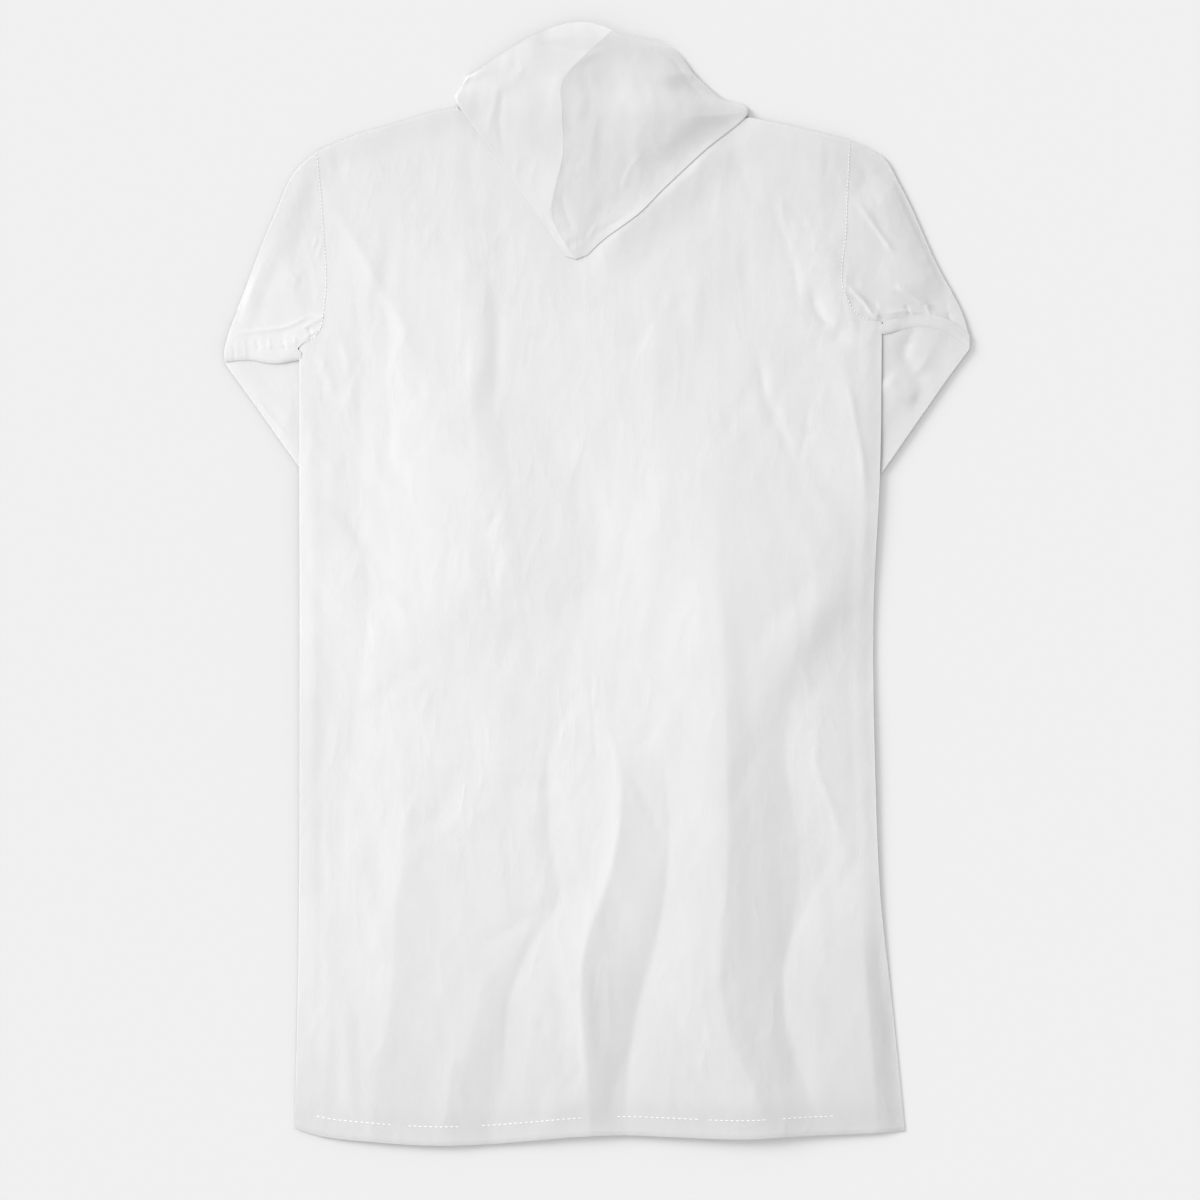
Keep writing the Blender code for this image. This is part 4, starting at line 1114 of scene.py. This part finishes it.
def weld_line(name, plan, dash, tree, material):
    """Dashes of a weld along a line on the upper film, as a plain mesh."""
    spacing, length, width, height, above = dash
    points = np.column_stack([plan, top_height(plan) + above])
    data = bpy.data.curves.new(name + "_line", "CURVE")
    data.dimensions = "3D"
    spline = data.splines.new("POLY")
    spline.points.add(len(points) - 1)
    for at, point in zip(spline.points, points):
        at.co = (*(point * MM), 1.0)
    line = placed(name + "_line", data)
    maker = line.modifiers.new("welds", "NODES")
    maker.node_group = tree
    wanted = {"Spacing": spacing * MM, "Length": length * MM, "Width": width * MM,
              "Height": height * MM, "Material": material}
    for item in tree.interface.items_tree:
        if item.in_out == "INPUT" and item.name in wanted:
            maker[item.identifier] = wanted[item.name]
    mesh = evaluated(line)
    bpy.data.objects.remove(line, do_unlink=True)
    piece = placed(name, mesh)
    mesh.shade_smooth()
    return piece


def joined(name, parts):
    """Several plain meshes as one object."""
    work = bmesh.new()
    for part in parts:
        work.from_mesh(part.data)
    mesh = bpy.data.meshes.new(name)
    work.to_mesh(mesh)
    work.free()
    mesh.materials.append(parts[0].data.materials[0])
    mesh.shade_smooth()
    for part in parts:
        bpy.data.objects.remove(part, do_unlink=True)
    return placed(name, mesh)


# ---------------------------------------------------------------- assembly

def garment():
    """All pieces of the poncho: six films in place of the solids, and three welds."""
    body_film = milky_film("milky_peva_film_body", FILM_MILK, FILM_THIN,
                           shift=0.0, alpha=FILM_ALPHA)
    front_film = milky_film("milky_peva_film_front", FILM_MILK, FILM_THIN,
                            shift=3.1, alpha=FRONT_ALPHA)
    sleeve_film = milky_film("milky_peva_film_sleeves", FILM_MILK, FILM_THIN,
                             shift=5.3, alpha=FILM_ALPHA)
    # The hood's film is painted a little darker than the rest: painted shade
    hood_painted_shade_film = milky_film("milky_peva_film_hood_painted_shade", HOOD_PAINTED_SHADE_MILK, HOOD_PAINTED_SHADE_THIN,
                           shift=7.7, alpha=FILM_ALPHA)
    weld = welded_film("milky_peva_film_welded")
    tree = weld_tree()

    back = panel("back_film", BACK_NECK_LOW, top_height, 1, 1.0, body_film)
    front = panel("front_film", FRONT_NECK_LOW, front_height, -1, FRONT_SHARE, front_film)
    left = sleeve("sleeve_left_film", LEFT_ARMHOLE, LEFT_OUTER, LEFT_CREASE, LEFT_BEND,
                  LEFT_FOREARM, sleeve_film)
    right = sleeve("sleeve_right_film", RIGHT_ARMHOLE, RIGHT_OUTER, RIGHT_CREASE, RIGHT_BEND,
                   RIGHT_FOREARM, sleeve_film)
    hood_l = hood_half("hood_left_film", -1, hood_painted_shade_film)
    hood_r = hood_half("hood_right_film", 1, hood_painted_shade_film)

    shares = np.linspace(0, 1, WELD_POINTS)
    hem_line = curve(HEM)(shares) + (0, HEM_DEPTH - WELD_INSET)
    pressed = [hem_line[int(first * WELD_POINTS):int(last * WELD_POINTS)]
               for first, last in HEM_WELDS]
    hem_weld = joined("hem_weld", [weld_line("hem_weld", run, HEM_DASH, tree, weld)
                                   for run in pressed])
    hole_l, hole_r = [
        weld_line(name, curve(armhole)(shares[WELD_ENDS:-WELD_ENDS]), ARMHOLE_DASH, tree, weld)
        for name, armhole in (("armhole_weld_left", LEFT_ARMHOLE),
                              ("armhole_weld_right", RIGHT_ARMHOLE))]

    for piece, node in ((back, "back_panel"), (front, "front_panel"), (left, "sleeve_left"),
                        (right, "sleeve_right"), (hood_l, "hood_left"), (hood_r, "hood_right")):
        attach(piece, "root")
        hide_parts(node)
    for piece, node in ((hem_weld, "back_panel"), (hole_l, "sleeve_left"),
                        (hole_r, "sleeve_right")):
        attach(piece, "root")
    return back, front, left, right, hood_l, hood_r, hem_weld, hole_l, hole_r


def studio_floor():
    """Wide sheet of plain paper under the garment."""
    half = FLOOR_HALF
    mesh = bpy.data.meshes.new("floor")
    mesh.from_pydata([(-half, -half, 0), (half, -half, 0), (half, half, 0), (-half, half, 0)],
                     [], [(0, 1, 2, 3)])
    mesh.materials.append(paper_floor())
    placed("floor", mesh)


def studio_light(pieces):
    """Soft light from the upper left and from all round."""
    film = bpy.data.collections.new("film")
    for piece in pieces:
        film.objects.link(piece)
    for name, toward, energy, angle, film_only in SUNS:
        sun = bpy.data.lights.new(name, "SUN")
        sun.energy = energy
        sun.angle = math.radians(angle)
        lamp = placed(name, sun)
        lamp.rotation_euler = Vector(toward).to_track_quat("Z", "Y").to_euler()
        if film_only:
            lamp.light_linking.receiver_collection = film
            lamp.visible_glossy = False
    near = bpy.data.lights.new("near_light", "AREA")
    near.size = NEAR_SIZE
    near.energy = NEAR_WATTS
    near.spread = math.radians(NEAR_SPREAD)
    lamp = placed("near_light", near)
    lamp.location = NEAR_PLACE
    aim = Vector(NEAR_PLACE) - Vector(NEAR_TARGET)
    lamp.rotation_euler = aim.to_track_quat("Z", "Y").to_euler()
    lamp.light_linking.receiver_collection = film
    lamp.visible_glossy = False

    world = bpy.data.worlds.new("studio")
    world.use_nodes = True
    world.node_tree.nodes["Background"].inputs[0].default_value = (1, 1, 1, 1)
    world.node_tree.nodes["Background"].inputs[1].default_value = WORLD_LIGHT
    bpy.context.scene.world = world


def studio_camera():
    """The camera straight above, and colours shown as they are."""
    view = bpy.data.cameras.new("camera")
    view.lens = CAMERA_LENS
    view.sensor_width = CAMERA_WIDTH
    eye = placed("camera", view)
    eye.location = CAMERA_PLACE
    bpy.context.scene.camera = eye
    bpy.context.scene.view_settings.view_transform = "Standard"
    bpy.context.scene.view_settings.look = "None"


pieces = garment()
studio_floor()
studio_light(pieces)
studio_camera()
